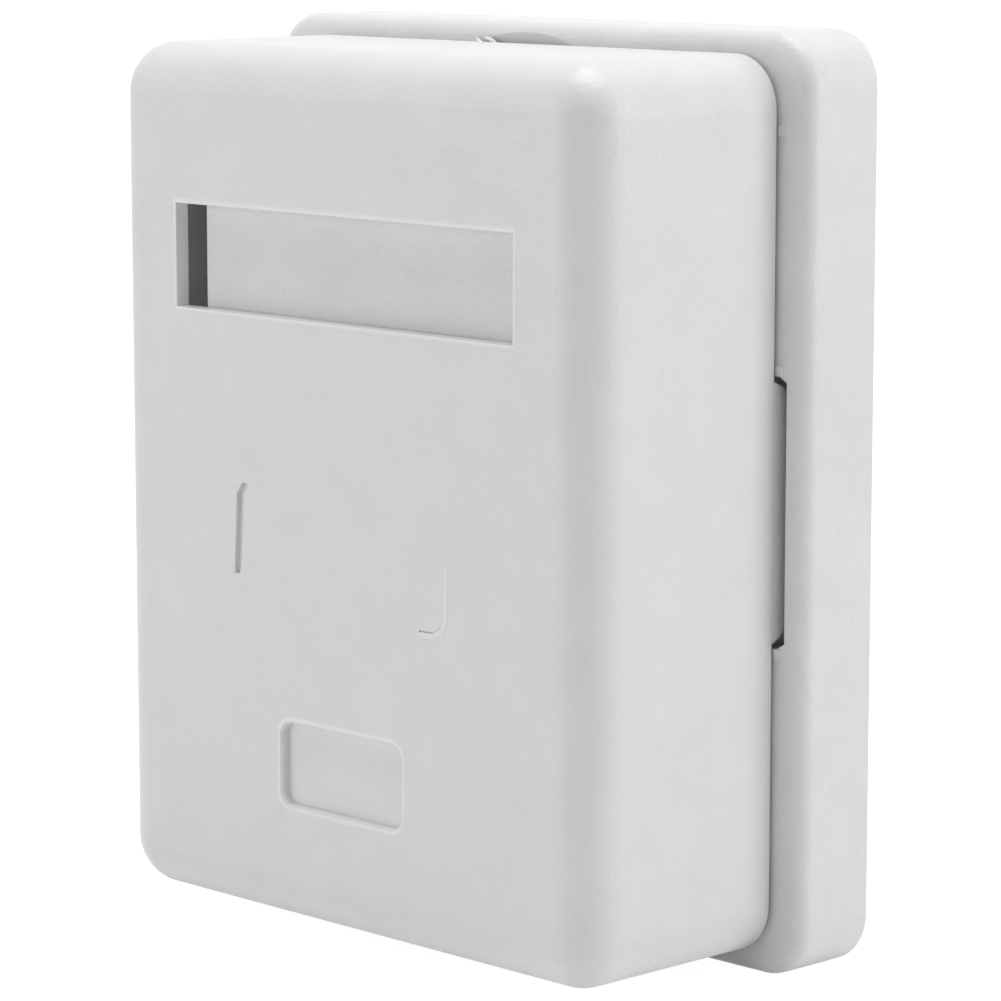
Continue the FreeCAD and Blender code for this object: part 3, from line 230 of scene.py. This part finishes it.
# %% [markdown]
# ## Moulded plastics
# The shell is ABS, injection moulded in a steel tool whose cavity was spark eroded, which leaves
# a very fine, even grain. So the plastic is not glossy: highlights spread, and close up the
# surface has tiny pits. Every edge of a moulding is also a little round, because a cutter made
# the tool, and that small round is what catches the light along a sharp edge. A bevel node turns
# the normals there without a single extra face. One builder makes all the plastics, because they
# differ only in colour, gloss, grain and edge. The pattern is noise in millimetres on Object
# coordinates, so it stays on the part when a cap or the cover is lifted off.

# %% Plastic builder
DRIFT_MM = 7.0
RUB_MM = 9.0
# The white that the tint turns to towards a lip's crest: a painted highlight.
PAINTED_CREST_HIGHLIGHT = "EDEDED"
# Nearly all of a noise lies between these two values, so they are stretched to 0 and 1.
NOISE_SPAN = [("From Min", 0.3), ("From Max", 0.7)]


def plastic(name, colour, shade, roughness, grain_mm, depth_mm, edge_mm, ior=1.53, scuffs=0.0,
            crest=None):
    """Moulded plastic whose tint drifts slowly from shade to colour, with a pitted grain.
    grain_mm: spacing of the grain; depth_mm: its depth; edge_mm: radius of its edges;
    scuffs: depth in mm of wiping marks; crest: the two levels of y in mm between which the
    tint turns white, a painted highlight."""
    material, tree = empty_material(name)
    place = add_node(tree, "ShaderNodeTexCoord").outputs["Object"]
    flow = add_node(tree, "ShaderNodeTexNoise", [(place, "Vector")],
                    [("Scale", 1.0 / (DRIFT_MM * MM)), ("Detail", 4.0), ("Roughness", 0.62)])
    grain = add_node(tree, "ShaderNodeTexNoise", [(place, "Vector")],
                     [("Scale", 1.0 / (grain_mm * MM)), ("Detail", 1.0), ("Roughness", 0.4)])
    drift = add_node(tree, "ShaderNodeMapRange", [(flow.outputs["Fac"], "Value")], NOISE_SPAN)
    tint = add_node(tree, "ShaderNodeMix", [(drift.outputs["Result"], "Factor")], data_type="RGBA")
    tint.inputs["A"].default_value = linear(shade)
    tint.inputs["B"].default_value = linear(colour)
    # Between the two levels of y the tint turns white: a painted highlight.
    if crest:
        level = add_node(tree, "ShaderNodeSeparateXYZ", [(place, "Vector")])
        stretch = add_node(tree, "ShaderNodeMapRange", [(level.outputs["Y"], "Value")],
                           [("From Min", crest[0] * MM), ("From Max", crest[1] * MM)])
        tint = add_node(tree, "ShaderNodeMix", [(stretch.outputs["Result"], "Factor"),
                                                (tint.outputs["Result"], "A")], data_type="RGBA")
        tint.inputs["B"].default_value = linear(PAINTED_CREST_HIGHLIGHT)
    gloss = add_node(tree, "ShaderNodeMapRange", [(grain.outputs["Fac"], "Value")],
                     NOISE_SPAN + [("To Min", roughness - 0.05), ("To Max", roughness + 0.07)])
    edge = add_node(tree, "ShaderNodeBevel", sockets=[("Radius", edge_mm * MM)], samples=6)
    pits = add_node(tree, "ShaderNodeBump", [(grain.outputs["Fac"], "Height"),
                                             (edge.outputs["Normal"], "Normal")],
                    [("Strength", 1.0), ("Distance", depth_mm * MM)])
    normal = pits
    if scuffs:
        rub = add_node(tree, "ShaderNodeTexWave", [(place, "Vector")],
                       [("Scale", 1.0 / (RUB_MM * MM)), ("Distortion", 9.0), ("Detail", 2.0),
                        ("Detail Scale", 1.5)], bands_direction="DIAGONAL")
        normal = add_node(tree, "ShaderNodeBump", [(rub.outputs["Fac"], "Height"),
                                                   (pits.outputs["Normal"], "Normal")],
                          [("Strength", 1.0), ("Distance", scuffs * MM)])
    skin = add_node(tree, "ShaderNodeBsdfPrincipled",
                    [(tint.outputs["Result"], "Base Color"), (gloss.outputs["Result"], "Roughness"),
                     (normal.outputs["Normal"], "Normal")], [("IOR", ior)])
    add_node(tree, "ShaderNodeOutputMaterial", [(skin.outputs[0], "Surface")])
    return material


print("one grain and one drift pattern, ready for every plastic")

# %% [markdown]
# ## Shell
# Cover and base are moulded in the same white ABS, so both are a neutral white that is even but
# for a slow drift of tone. The base is the part that is held while it is screwed to the wall, so
# very shallow wiping marks lie over its grain.

# %% Shell
def dress(node, material):
    """Puts a material in every slot of a CAD solid, in place of the plain one it came with."""
    mesh = nodes[node].data
    if not mesh.materials:
        mesh.materials.append(material)
    for slot in range(len(mesh.materials)):
        mesh.materials[slot] = material


# Spark-eroded grain is near 0.1 mm. It is drawn at 0.55 mm, as coarse as it needs to show here.
# It gives the eye a broken, powdery highlight in place of a mirror-like one.
cover_abs = plastic("white_abs_spark_textured", "DFDFDF", "DBDBDB", 0.42, 0.55, 0.045, 0.12)
base_abs = plastic("white_abs_spark_textured_handled", "E1E1E1", "DBDBDB", 0.44, 0.55, 0.045, 0.12,
                   scuffs=0.02)
dress("front_cover", cover_abs)
dress("base", base_abs)
print("shell plastic on front_cover and base")

# %% [markdown]
# ## Label, socket, blocks and caps
# The label behind the window is a calendered polystyrene sheet, a touch bluer and quite matt.
# The socket is PBT, which moulds crisp and a little waxy. The connecting blocks are
# polycarbonate with a glassier skin, and their caps are nylon, which scatters light inside and
# looks soft. All are near white, so gloss and grain tell them apart.

# %% Other plastics
# Their grain is finer than a tenth of a millimetre too, and is drawn at 0.3 to 0.5 mm.
label_sheet = plastic("matt_polystyrene_label_sheet", "DEDEDF", "D9D9DA", 0.6, 0.5, 0.075, 0.05,
                      1.59)
dress("label_plate", label_sheet)
socket_pbt = plastic("white_pbt_moulded", "DADAD6", "D5D5D1", 0.36, 0.3, 0.006, 0.12, 1.55)
dress("jack_housing", socket_pbt)
block_pc = plastic("white_polycarbonate_moulded", "D2D2CB", "CDCDC6", 0.3, 0.3, 0.005, 0.15, 1.58)
cap_nylon = plastic("white_nylon_moulded", "DCDCD8", "D7D7D3", 0.46, 0.35, 0.008, 0.2, 1.53)
for side in ("left", "right"):
    dress("idc_block_" + side, block_pc)
    dress("idc_cap_" + side, cap_nylon)
print("label, socket, blocks and caps dressed")

# %% [markdown]
# ## Circuit board
# The board is glass cloth in epoxy under a green lacquer. The cloth's threads lie about 0.5 mm
# apart, and the lacquer follows them, so its skin has a fine square pattern that shows in
# glancing light. Two sets of bands, one across and one up, stand for warp and weft.

# %% Board lacquer
THREAD_MM = 0.5
CLOUD_MM = 3.0


def lacquer(name, colour, shade, weave_depth_mm):
    """Green lacquer over woven glass: bands sin(2 pi x / thread) and sin(2 pi z / thread)."""
    material, tree = empty_material(name)
    place = add_node(tree, "ShaderNodeTexCoord").outputs["Object"]
    bands = [add_node(tree, "ShaderNodeTexWave", [(place, "Vector")],
                      [("Scale", math.pi / (10.0 * THREAD_MM * MM)), ("Distortion", 0.6)],
                      bands_direction=direction).outputs["Fac"] for direction in ("X", "Z")]
    weave = add_node(tree, "ShaderNodeMath", [(bands[0], 0), (bands[1], 1)], operation="MAXIMUM")
    cloud = add_node(tree, "ShaderNodeTexNoise", [(place, "Vector")],
                     [("Scale", 1.0 / (CLOUD_MM * MM)), ("Detail", 3.0)])
    tint = add_node(tree, "ShaderNodeMix", [(cloud.outputs["Fac"], "Factor")], data_type="RGBA")
    tint.inputs["A"].default_value = linear(shade)
    tint.inputs["B"].default_value = linear(colour)
    gloss = add_node(tree, "ShaderNodeMapRange", [(cloud.outputs["Fac"], "Value")],
                     [("To Min", 0.2), ("To Max", 0.32)])
    relief = add_node(tree, "ShaderNodeBump", [(weave.outputs[0], "Height")],
                      [("Strength", 1.0), ("Distance", weave_depth_mm * MM)])
    skin = add_node(tree, "ShaderNodeBsdfPrincipled",
                    [(tint.outputs["Result"], "Base Color"), (gloss.outputs["Result"], "Roughness"),
                     (relief.outputs["Normal"], "Normal")], [("IOR", 1.52), ("Coat Weight", 0.3)])
    add_node(tree, "ShaderNodeOutputMaterial", [(skin.outputs[0], "Surface")])
    return material


# Lacquer on the bare board is dark and glossy; over copper it stands paler and smoother.
board_green = lacquer("green_solder_lacquer_on_glass_epoxy", "2E7648", "286B40", 0.01)
copper_green = lacquer("green_solder_lacquer_over_copper", "4B9A5C", "438F54", 0.004)
dress("circuit_board", board_green)
print("board lacquer on circuit_board")

# %% [markdown]
# ## Plated metals
# The screws are bright zinc on steel, the spring wires are gold on phosphor bronze, and the
# blades are tin on brass. Plating copies the drawn or rolled metal below it, so each gets fine
# streaks along one direction, stretched noise, that change both gloss and height.

# %% Metals
PLATED_EDGE_MM = 0.06


def plated(name, colour, shade, roughness, streak_mm, depth_mm):
    """Plated metal: noise stretched five times along Y gives streaks in gloss, tint and height."""
    material, tree = empty_material(name)
    place = add_node(tree, "ShaderNodeTexCoord").outputs["Object"]
    along = add_node(tree, "ShaderNodeMapping", [(place, "Vector")], [("Scale", (1.0, 0.2, 1.0))])
    streaks = add_node(tree, "ShaderNodeTexNoise", [(along.outputs["Vector"], "Vector")],
                       [("Scale", 1.0 / (streak_mm * MM)), ("Detail", 3.0)])
    tint = add_node(tree, "ShaderNodeMix", [(streaks.outputs["Fac"], "Factor")], data_type="RGBA")
    tint.inputs["A"].default_value = linear(shade)
    tint.inputs["B"].default_value = linear(colour)
    gloss = add_node(tree, "ShaderNodeMapRange", [(streaks.outputs["Fac"], "Value")],
                     [("To Min", roughness - 0.08), ("To Max", roughness + 0.1)])
    edge = add_node(tree, "ShaderNodeBevel", sockets=[("Radius", PLATED_EDGE_MM * MM)],
                    samples=4)
    relief = add_node(tree, "ShaderNodeBump", [(streaks.outputs["Fac"], "Height"),
                                               (edge.outputs["Normal"], "Normal")],
                      [("Strength", 1.0), ("Distance", depth_mm * MM)])
    skin = add_node(tree, "ShaderNodeBsdfPrincipled",
                    [(tint.outputs["Result"], "Base Color"), (gloss.outputs["Result"], "Roughness"),
                     (relief.outputs["Normal"], "Normal")], [("Metallic", 1.0)])
    add_node(tree, "ShaderNodeOutputMaterial", [(skin.outputs[0], "Surface")])
    return material


# Zinc is a cool bluish grey, gold warm and the brightest, tin a dull grey between the two.
screw_zinc = plated("zinc_plated_steel", "C4C6C9", "B4B7BC", 0.3, 0.25, 0.004)
spring_gold = plated("gold_plated_bronze_wire", "E6BC66", "D9A94F", 0.24, 0.12, 0.002)
blade_tin = plated("tin_plated_brass", "CBCBC7", "BDBDB8", 0.36, 0.15, 0.003)
dress("board_screws", screw_zinc)
for way in range(1, 9):
    dress("jack_contact_%d" % way, spring_gold)
    dress("idc_contact_%d" % way, blade_tin)
print("screws, contacts and blades dressed")

# %% [markdown]
# ## Pieces
# Each piece below rides on one of the bodies that move apart, and has a slot that names its
# stuff. A mesh made from arrays has doubled points along its seams and at its poles. They are
# merged and every face is turned outwards, so a piece has an inside and an outside.

# %% Piece helpers
MERGE = 0.002 * MM
COLLAPSE = 0.001 * MM


def close_seams(mesh):
    """Merges the doubled points of seams and poles and turns every face outwards."""
    shape = bmesh.new()
    shape.from_mesh(mesh)
    bmesh.ops.remove_doubles(shape, verts=shape.verts, dist=MERGE)
    bmesh.ops.dissolve_degenerate(shape, edges=shape.edges, dist=COLLAPSE)
    bmesh.ops.recalc_face_normals(shape, faces=shape.faces)
    shape.to_mesh(mesh)
    shape.free()


def add_piece(name, mesh, material, body):
    """Puts a finished mesh in the scene as a piece that rides on a body."""
    mesh.materials.append(material)
    piece = bpy.data.objects.new(name, mesh)
    scene.collection.objects.link(piece)
    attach(piece, body)
    print(name, "has", len(mesh.vertices), "points and", len(mesh.polygons), "faces")


print("points closer than", round(MERGE / MM, 3), "mm are merged")

# %% [markdown]
# ## From arrays to meshes
# Each piece is a grid of points: a formula of two parameters, worked out for the whole grid at
# once. A grid becomes quads by numbering its points and shifting the numbers by one row and one
# column. Where a row shrinks to a point, the merging closes the pole.

# %% Surface helper
def surface(name, grids, material, body):
    """One piece from grids of points in mm, grids[k][i, j]; each row is closed into a ring."""
    corners, faces, count = [], [], 0
    for grid in grids:
        rows, columns = grid.shape[:2]
        number = np.arange(rows * columns).reshape(rows, columns) + count
        number = np.concatenate([number, number[:, :1]], axis=1)
        quads = np.stack([number[:-1, :-1], number[:-1, 1:],
                          number[1:, 1:], number[1:, :-1]], axis=-1)
        corners.append(grid.reshape(-1, 3))
        faces.append(quads.reshape(-1, 4))
        count += rows * columns
    mesh = bpy.data.meshes.new(name)
    mesh.from_pydata(np.concatenate(corners) * MM, [], np.concatenate(faces).tolist())
    close_seams(mesh)
    add_piece(name, mesh, material, body)


def close_ends(rows):
    """Adds the first and the last row again, shrunk to their middles, which caps both ends."""
    caps = [np.repeat(rows[index].mean(axis=0)[None, None], rows.shape[1], axis=1)
            for index in (0, -1)]
    return np.concatenate([caps[0], rows, caps[1]], axis=0)


def box_mm(node):
    """Lowest and highest corner of a CAD solid in millimetres."""
    low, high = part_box(node)
    return np.array(low) / MM, np.array(high) / MM


board_face = box_mm("circuit_board")[0][1]
print("front of the board at y =", round(float(board_face), 2), "mm")

# %% [markdown]
# ## Copper tracks
# Eight tracks run from the socket's tails to the blades of the two connecting blocks. On the
# real board they are copper 0.035 mm thick, etched and then lacquered, so they stand a little
# proud and look lighter than the bare board. Each is a flat-topped profile carried along a path
# of straight runs with one turn of 45 degrees, as a board maker would draw it.

# %% Tracks
TRACK_WIDTH = 0.45
TRACK_RISE = 0.06
# A track's section from bank to bank: across in track widths, up in track rises.
TRACK_PROFILE = np.array([(-0.6, 0.0), (-0.5, 1.0), (0.5, 1.0), (0.6, 0.0)])
CONTACT_PITCH = 1.016
WIRE_PITCH = 4.2
UNDER_SOCKET = 1.5
UNDER_BLOCK = 0.6


def track(path):
    """A track along points (x, z) in mm. At each point the profile is set across the mean
    direction, widened by 1 / cos(half the turn)."""
    steps = np.diff(path, axis=0)
    steps /= np.linalg.norm(steps, axis=1, keepdims=True)
    before = np.vstack([steps[:1], steps])
    after = np.vstack([steps, steps[-1:]])
    mean = before + after
    mean /= np.linalg.norm(mean, axis=1, keepdims=True)
    widen = 1.0 / np.sum(mean * after, axis=1)
    across = np.column_stack([-mean[:, 1], mean[:, 0]]) * widen[:, None]
    aside = (TRACK_PROFILE[:, 0] * TRACK_WIDTH)[None, :, None]
    flat = path[:, None, :] + across[:, None, :] * aside
    height = np.broadcast_to(board_face - TRACK_PROFILE[:, 1] * TRACK_RISE, flat.shape[:2])
    return close_ends(np.stack([flat[..., 0], height, flat[..., 1]], axis=-1))


block_low, block_high = box_mm("idc_block_right")
track_foot = box_mm("jack_housing")[1][2] - UNDER_SOCKET
track_end = block_low[0] + UNDER_BLOCK
block_middle = (block_low[2] + block_high[2]) / 2
wire_levels = [block_middle + (row - 1.5) * WIRE_PITCH for row in range(4)]
tracks = []
for sign in (-1, 1):
    for row, level in enumerate(wire_levels):
        start = (3.5 - row) * CONTACT_PITCH
        turn = level - (track_end - start)
        tracks.append(track(np.array([(sign * start, track_foot), (sign * start, turn),
                                      (sign * track_end, level)])))
surface("board_tracks", tracks, copper_green, "base_assembly")

# %% [markdown]
# ## Printed ink
# White legend ink numbers the eight wires beside the blocks, and a coloured patch beside each
# number gives the wire's colour, half white for a striped wire. Screen-printed ink is thick
# enough to see: a patch is a low pillow. Its outline is a superellipse, x = a * |cos t|^(2/n)
# with the sign of cos t, which gives a rectangle with round corners from one formula.

# %% Ink patches
INK_RISE = 0.03
INK_KEEL = 0.01
PATCH_TALL = 2.7
PATCH_WIDE = 0.75
PATCHES_FROM = 18.7
CORNER_POWER = 7


def patch(middle_x, middle_z, wide, tall):
    """A pillow: rings s * superellipse(t), height rise * (1 - s ** 8), s from 1 down to 0.
    One more ring of size 0, sunk into the board, comes first and closes its back."""
    turn = np.linspace(0, 2 * math.pi, 40, endpoint=False)
    rim_x = np.sign(np.cos(turn)) * np.abs(np.cos(turn)) ** (2 / CORNER_POWER) * wide / 2
    rim_z = np.sign(np.sin(turn)) * np.abs(np.sin(turn)) ** (2 / CORNER_POWER) * tall / 2
    size = np.array([0.0, 1.0, 0.97, 0.9, 0.5, 0.0])[:, None]
    rise = (1 - size ** 8) * INK_RISE
    rise[0] = -INK_KEEL
    return np.stack([middle_x + size * rim_x, board_face - rise + 0 * rim_x,
                     middle_z + size * rim_z], axis=-1)


def ink(name, colour):
    """Screen ink: nearly matt, with the print mesh, 0.12 mm, in its skin."""
    return plastic(name, colour, colour, 0.5, 0.12, 0.004, 0.01, 1.5)


inks = {"white": ink("white_legend_ink", "E8E8E4"), "blue": ink("blue_screen_ink", "2F6FB3"),
        "orange": ink("orange_screen_ink", "DE7B2B"), "green": ink("green_screen_ink", "57B36A"),
        "brown": ink("brown_screen_ink", "7C4E33")}
patches = {name: [] for name in inks}
# Side of the board, and the colours of its four wires from the lowest up.
WIRES = ((-1, ("blue", "orange", "green", "brown")), (1, ("brown", "green", "orange", "blue")))
for sign, colours in WIRES:
    for row, (level, colour) in enumerate(zip(wire_levels, colours)):
        inner = sign * (PATCHES_FROM + PATCH_WIDE / 2)
        outer = sign * (PATCHES_FROM + PATCH_WIDE * 1.5)
        striped = (row % 2 == 0) == (sign < 0)
        second = "white" if striped else colour
        patches[colour].append(patch(inner, level, PATCH_WIDE, PATCH_TALL))
        patches[second].append(patch(outer, level, PATCH_WIDE, PATCH_TALL))
for name, shapes in patches.items():
    surface("wire_colour_" + name, shapes, inks[name], "base_assembly")

# %% [markdown]
# ## Wire numbers
# The digits 1 to 8 are set in the plain font that comes with the program, made into a mesh and
# then laid on the board: a text lies in its own plane, so its height becomes z and its
# thickness becomes minus y. They are printed in the same white ink.

# %% Numbers
DIGIT_TALL = 1.7
# A digit of this font is 0.7 of its nominal size tall.
TALL_SHARE = 0.7
NUMBERS_AT = 21.1


def digit(text, middle_x, middle_z):
    """Points in mm and faces of one printed digit, centred at (x, z) on the board's front."""
    words = bpy.data.curves.new("digit", "FONT")
    words.body = text
    words.size = DIGIT_TALL / TALL_SHARE
    words.extrude = INK_RISE
    words.align_x = "CENTER"
    words.align_y = "CENTER"
    holder = bpy.data.objects.new("digit", words)
    scene.collection.objects.link(holder)
    bpy.context.view_layer.update()
    drawn = bpy.data.meshes.new_from_object(holder)
    points = np.empty(len(drawn.vertices) * 3)
    drawn.vertices.foreach_get("co", points)
    points = points.reshape(-1, 3)
    placed = np.column_stack([points[:, 0] + middle_x, board_face - points[:, 2],
                              points[:, 1] + middle_z])
    faces = [tuple(face.vertices) for face in drawn.polygons]
    bpy.data.objects.remove(holder)
    bpy.data.curves.remove(words)
    bpy.data.meshes.remove(drawn)
    return placed, faces


points, faces, count = [], [], 0
for sign in (-1, 1):
    for row, level in enumerate(wire_levels):
        number = row + 1 if sign < 0 else 8 - row
        placed, drawn_faces = digit(str(number), sign * NUMBERS_AT, level)
        points.append(placed)
        faces += [tuple(index + count for index in face) for face in drawn_faces]
        count += len(placed)
digits_mesh = bpy.data.meshes.new("wire_numbers")
digits_mesh.from_pydata(np.concatenate(points) * MM, [], faces)
close_seams(digits_mesh)
add_piece("wire_numbers", digits_mesh, inks["white"], "base_assembly")

# %% [markdown]
# ## Ejector marks
# Round pins push a moulding out of its tool and leave a faint ring inside the cover and behind
# the base. A ring is a torus, ((R + r cos v) cos u, r sin v, (R + r cos v) sin u), sunk to half
# its tube, so that only a low round ridge shows.

# %% Ejector marks
RING_RADIUS = 2.5
RING_TUBE = 0.09
COVER_INSIDE = -32.7
COVER_PINS = [(x, z) for x in (-24, 24) for z in (-28, 5, 35)]
BASE_BACK = -7.5
BASE_PINS = [(-15, -28), (-15, 0), (15, -28), (15, 0), (-19, 22), (19, 22)]


def ring(middle_x, level_y, middle_z):
    """The torus formula above on a 48 by 8 grid, closed both ways."""
    turn = np.linspace(0, 2 * math.pi, 49)[:, None]
    tube = np.linspace(0, 2 * math.pi, 8, endpoint=False)[None, :]
    reach = RING_RADIUS + RING_TUBE * np.cos(tube)
    return np.stack([middle_x + reach * np.cos(turn), level_y + RING_TUBE * np.sin(tube) + 0 * turn,
                     middle_z + reach * np.sin(turn)], axis=-1)


surface("cover_ejector_marks", [ring(x, COVER_INSIDE, z) for x, z in COVER_PINS],
        cover_abs, "cover")
surface("base_ejector_marks", [ring(x, BASE_BACK, z) for x, z in BASE_PINS],
        base_abs, "base_assembly")

# %% [markdown]
# ## Cover tongues
# At each side the base's ledge has a long slot, and the cover's wall runs on into it as a
# tongue. It guides the cover home and hides the latch behind it. The tongue is flush with the
# outside of the wall at first and then rounds off, so the light on it fades towards its end.
# It is a closed profile carried along the slot, and its depth falls off as 1 - |s| ** 16, with
# s from -1 to 1, which rounds its two corners.

# %% Tongues
TONGUE_HALF = 12.3
TONGUE_PAST = 2.4
TONGUE_ROOT = 0.5
WALL_OUTSIDE = 33.285
WALL_INSIDE = 32.2
RIM_LEVEL = -9.6


def tongue(sign):
    """Rows along z of the section x = middle + half * sign(cos t) * |cos t| ** 0.3,
    y = root + (reach + TONGUE_ROOT) * sin(t) ** 0.6, from the wall's outside to its inside."""
    share = np.linspace(-1, 1, 81)[:, None]
    turn = np.linspace(0, math.pi, 15)[None, :]
    middle, half = (WALL_OUTSIDE + WALL_INSIDE) / 2, (WALL_OUTSIDE - WALL_INSIDE) / 2
    reach = TONGUE_PAST * (1 - np.abs(share) ** 16) + 0.0 * turn
    nose_x = middle + half * np.sign(np.cos(turn)) * np.abs(np.cos(turn)) ** 0.3 + 0.0 * share
    nose_y = RIM_LEVEL - TONGUE_ROOT + (reach + TONGUE_ROOT) * np.sin(turn) ** 0.6
    return close_ends(np.stack([sign * nose_x, nose_y, TONGUE_HALF * share + 0.0 * nose_x],
                               axis=-1))


surface("cover_tongues", [tongue(sign) for sign in (-1, 1)], cover_abs, "cover")

# %% [markdown]
# ## Witness line
# The middle of the face is closed by a plain insert in the moulding tool. Where the insert's
# lower right corner worked loose, the plastic has crept into the gap, so a low ridge turns the
# corner there. Its tint is a touch lighter than the shell: a painted highlight, which makes it
# read as a soft light line. It is a low pillow, height 1 - q ** 4 across its width, carried
# along a straight run, a quarter circle and a second run.

# %% Witness line
FACE_LEVEL = box_mm("front_cover")[0][1]
LINE_RADIUS = 2.2
LINE_RIGHT, LINE_LOW = 14.66, -11.25
LINE_TOP, LINE_LEFT = -4.5, 10.6
LINE_HALF = 0.32
LINE_RISE = 0.03
LINE_KEEL = 0.04


def witness():
    """Path (x, z): down, a quarter circle of LINE_RADIUS, left. Its half width follows
    1 - |s| ** 12, with s from -1 to 1, and a keel point below each section closes it."""
    corner = np.linspace(0, math.pi / 2, 17)
    arc_x, arc_z = LINE_RIGHT - LINE_RADIUS, LINE_LOW + LINE_RADIUS
    arc = np.column_stack([arc_x + LINE_RADIUS * np.cos(corner),
                           arc_z - LINE_RADIUS * np.sin(corner)])
    down = np.column_stack([np.full(14, LINE_RIGHT),
                            np.linspace(LINE_TOP, arc_z, 14, endpoint=False)])
    left = np.column_stack([np.linspace(arc_x, LINE_LEFT, 10)[1:], np.full(9, LINE_LOW)])
    path = np.concatenate([down, arc, left])
    steps = np.gradient(path, axis=0)
    steps /= np.linalg.norm(steps, axis=1, keepdims=True)
    across = np.column_stack([-steps[:, 1], steps[:, 0]])
    share = np.linspace(-1, 1, len(path))
    half = LINE_HALF * (1 - np.abs(share) ** 12)
    q = np.linspace(-1, 1, 9)[None, :]
    flat = path[:, None, :] + across[:, None, :] * (half[:, None] * q)[..., None]
    height = FACE_LEVEL - LINE_RISE * (1 - q ** 4) * (1 - share[:, None] ** 12)
    rows = np.stack([flat[..., 0], height, flat[..., 1]], axis=-1)
    keel = np.stack([path[:, 0], np.full(len(path), FACE_LEVEL + LINE_KEEL), path[:, 1]], axis=-1)
    return np.concatenate([rows, keel[:, None, :]], axis=1)


# A touch lighter than the shell: a painted highlight along the line.
highlight_tinted_abs = plastic("abs_painted_highlight_tint", "E5E5E5", "E1E1E1", 0.42, 0.55, 0.03, 0.02)
surface("insert_witness_line", [witness()], highlight_tinted_abs, "cover")

# %% [markdown]
# ## Moulded lips
# Plastic that cools round an opening pulls back a little less at the opening's edge, so the edge
# ends in a low soft lip that catches the light from above. The lip's outline is four quarter
# circles joined by straight runs. Across the lip its height climbs fast and then fades away,
# h = rise * (1 - exp(-q / 0.12)) * (1 - q) ** 2, and its outer edge dips just below the face, so
# it meets the flat without a crease. Towards the crest the tint turns white with the height, a
# painted highlight.

# %% Lips
LIP_RISE = 0.09
LIP_WIDE = 0.8
LIP_CLIMB = 0.12
LIP_KEEL = 0.05
LIP_DIP = 0.012
LIP_CLEAR = 0.01


def lip(low, high, radius):
    """Corner centre + (radius + LIP_CLEAR + LIP_WIDE * q) * (cos t, sin t) in x and z, q from 0
    to 1. The first row is sunk into the face and comes again at the end, which closes it."""
    q = np.concatenate([[0.0], np.linspace(0, 1, 24) ** 2])[:, None]
    sunk = LIP_DIP * q ** 2
    sunk[0] = LIP_KEEL
    turn = (np.arange(4)[:, None] * math.pi / 2 + np.linspace(0, math.pi / 2, 9)).reshape(1, -1)
    side = np.repeat([(1, 1), (-1, 1), (-1, -1), (1, -1)], 9, axis=0)
    centre = np.where(side > 0, high, low) - radius * side
    reach = radius + LIP_CLEAR + LIP_WIDE * q
    height = LIP_RISE * (1 - np.exp(-q / LIP_CLIMB)) * (1 - q) ** 2
    rows = np.stack([centre[:, 0] + reach * np.cos(turn), FACE_LEVEL - height + sunk + 0 * turn,
                     centre[:, 1] + reach * np.sin(turn)], axis=-1)
    return np.concatenate([rows, rows[:1]], axis=0)


# Lower left and upper right corner (x, z) and corner radius of each opening, in mm.
window_lip = lip((-23.55, 16.9), (23.55, 27.05), 0.0)
icon_lip = lip((-8.65, -30.7), (8.65, -22.2), 1.5)
# The lips' tint turns white towards the crest: a painted highlight.
lip_abs_painted_highlight = plastic("abs_lip_painted_highlight", "DFDFDF", "DBDBDB", 0.42, 0.55, 0.045, 0.0,
                  crest=(FACE_LEVEL - 0.01, FACE_LEVEL - 0.06))
surface("opening_lips", [window_lip, icon_lip], lip_abs_painted_highlight, "cover")

# %% [markdown]
# ## Flash at the scoop
# Where the cover's rim crosses the left end of the pry scoop, the moulding has kept two hair-thin
# slivers of flash. Each is a spindle: a round section of radius r * sin(pi s) carried along a
# slightly bent path, so both ends run out to a point.

# %% Flash
FLASH_LEVEL = -9.75


def sliver(start, end, bow, radius):
    """Spindle from start to end in mm: start + (end - start) * s + bow * sin(pi s), as thick as
    radius * sin(pi s), with s from 0 to 1."""
    start, end, bow = np.array(start), np.array(end), np.array(bow)
    share = np.linspace(0, 1, 13)[:, None, None]
    turn = np.linspace(0, 2 * math.pi, 8, endpoint=False)[None, :, None]
    swell = np.sin(math.pi * share)
    path = start + (end - start) * share + bow * swell
    along = (end - start) / np.linalg.norm(end - start)
    side = np.cross(along, (0.0, 1.0, 0.0))
    side /= np.linalg.norm(side)
    other = np.cross(along, side)
    return path + radius * swell * (np.cos(turn) * side + np.sin(turn) * other)


# The slivers take the same tint, lighter than the shell: a painted highlight.
flash = [sliver((-5.6, FLASH_LEVEL, 43.0), (-3.4, FLASH_LEVEL, 42.2), (0.0, -0.05, 0.1), 0.2),
         sliver((-6.8, FLASH_LEVEL, 42.95), (-5.4, FLASH_LEVEL, 42.1), (0.0, -0.05, -0.05), 0.18)]
surface("cover_flash", flash, highlight_tinted_abs, "cover")
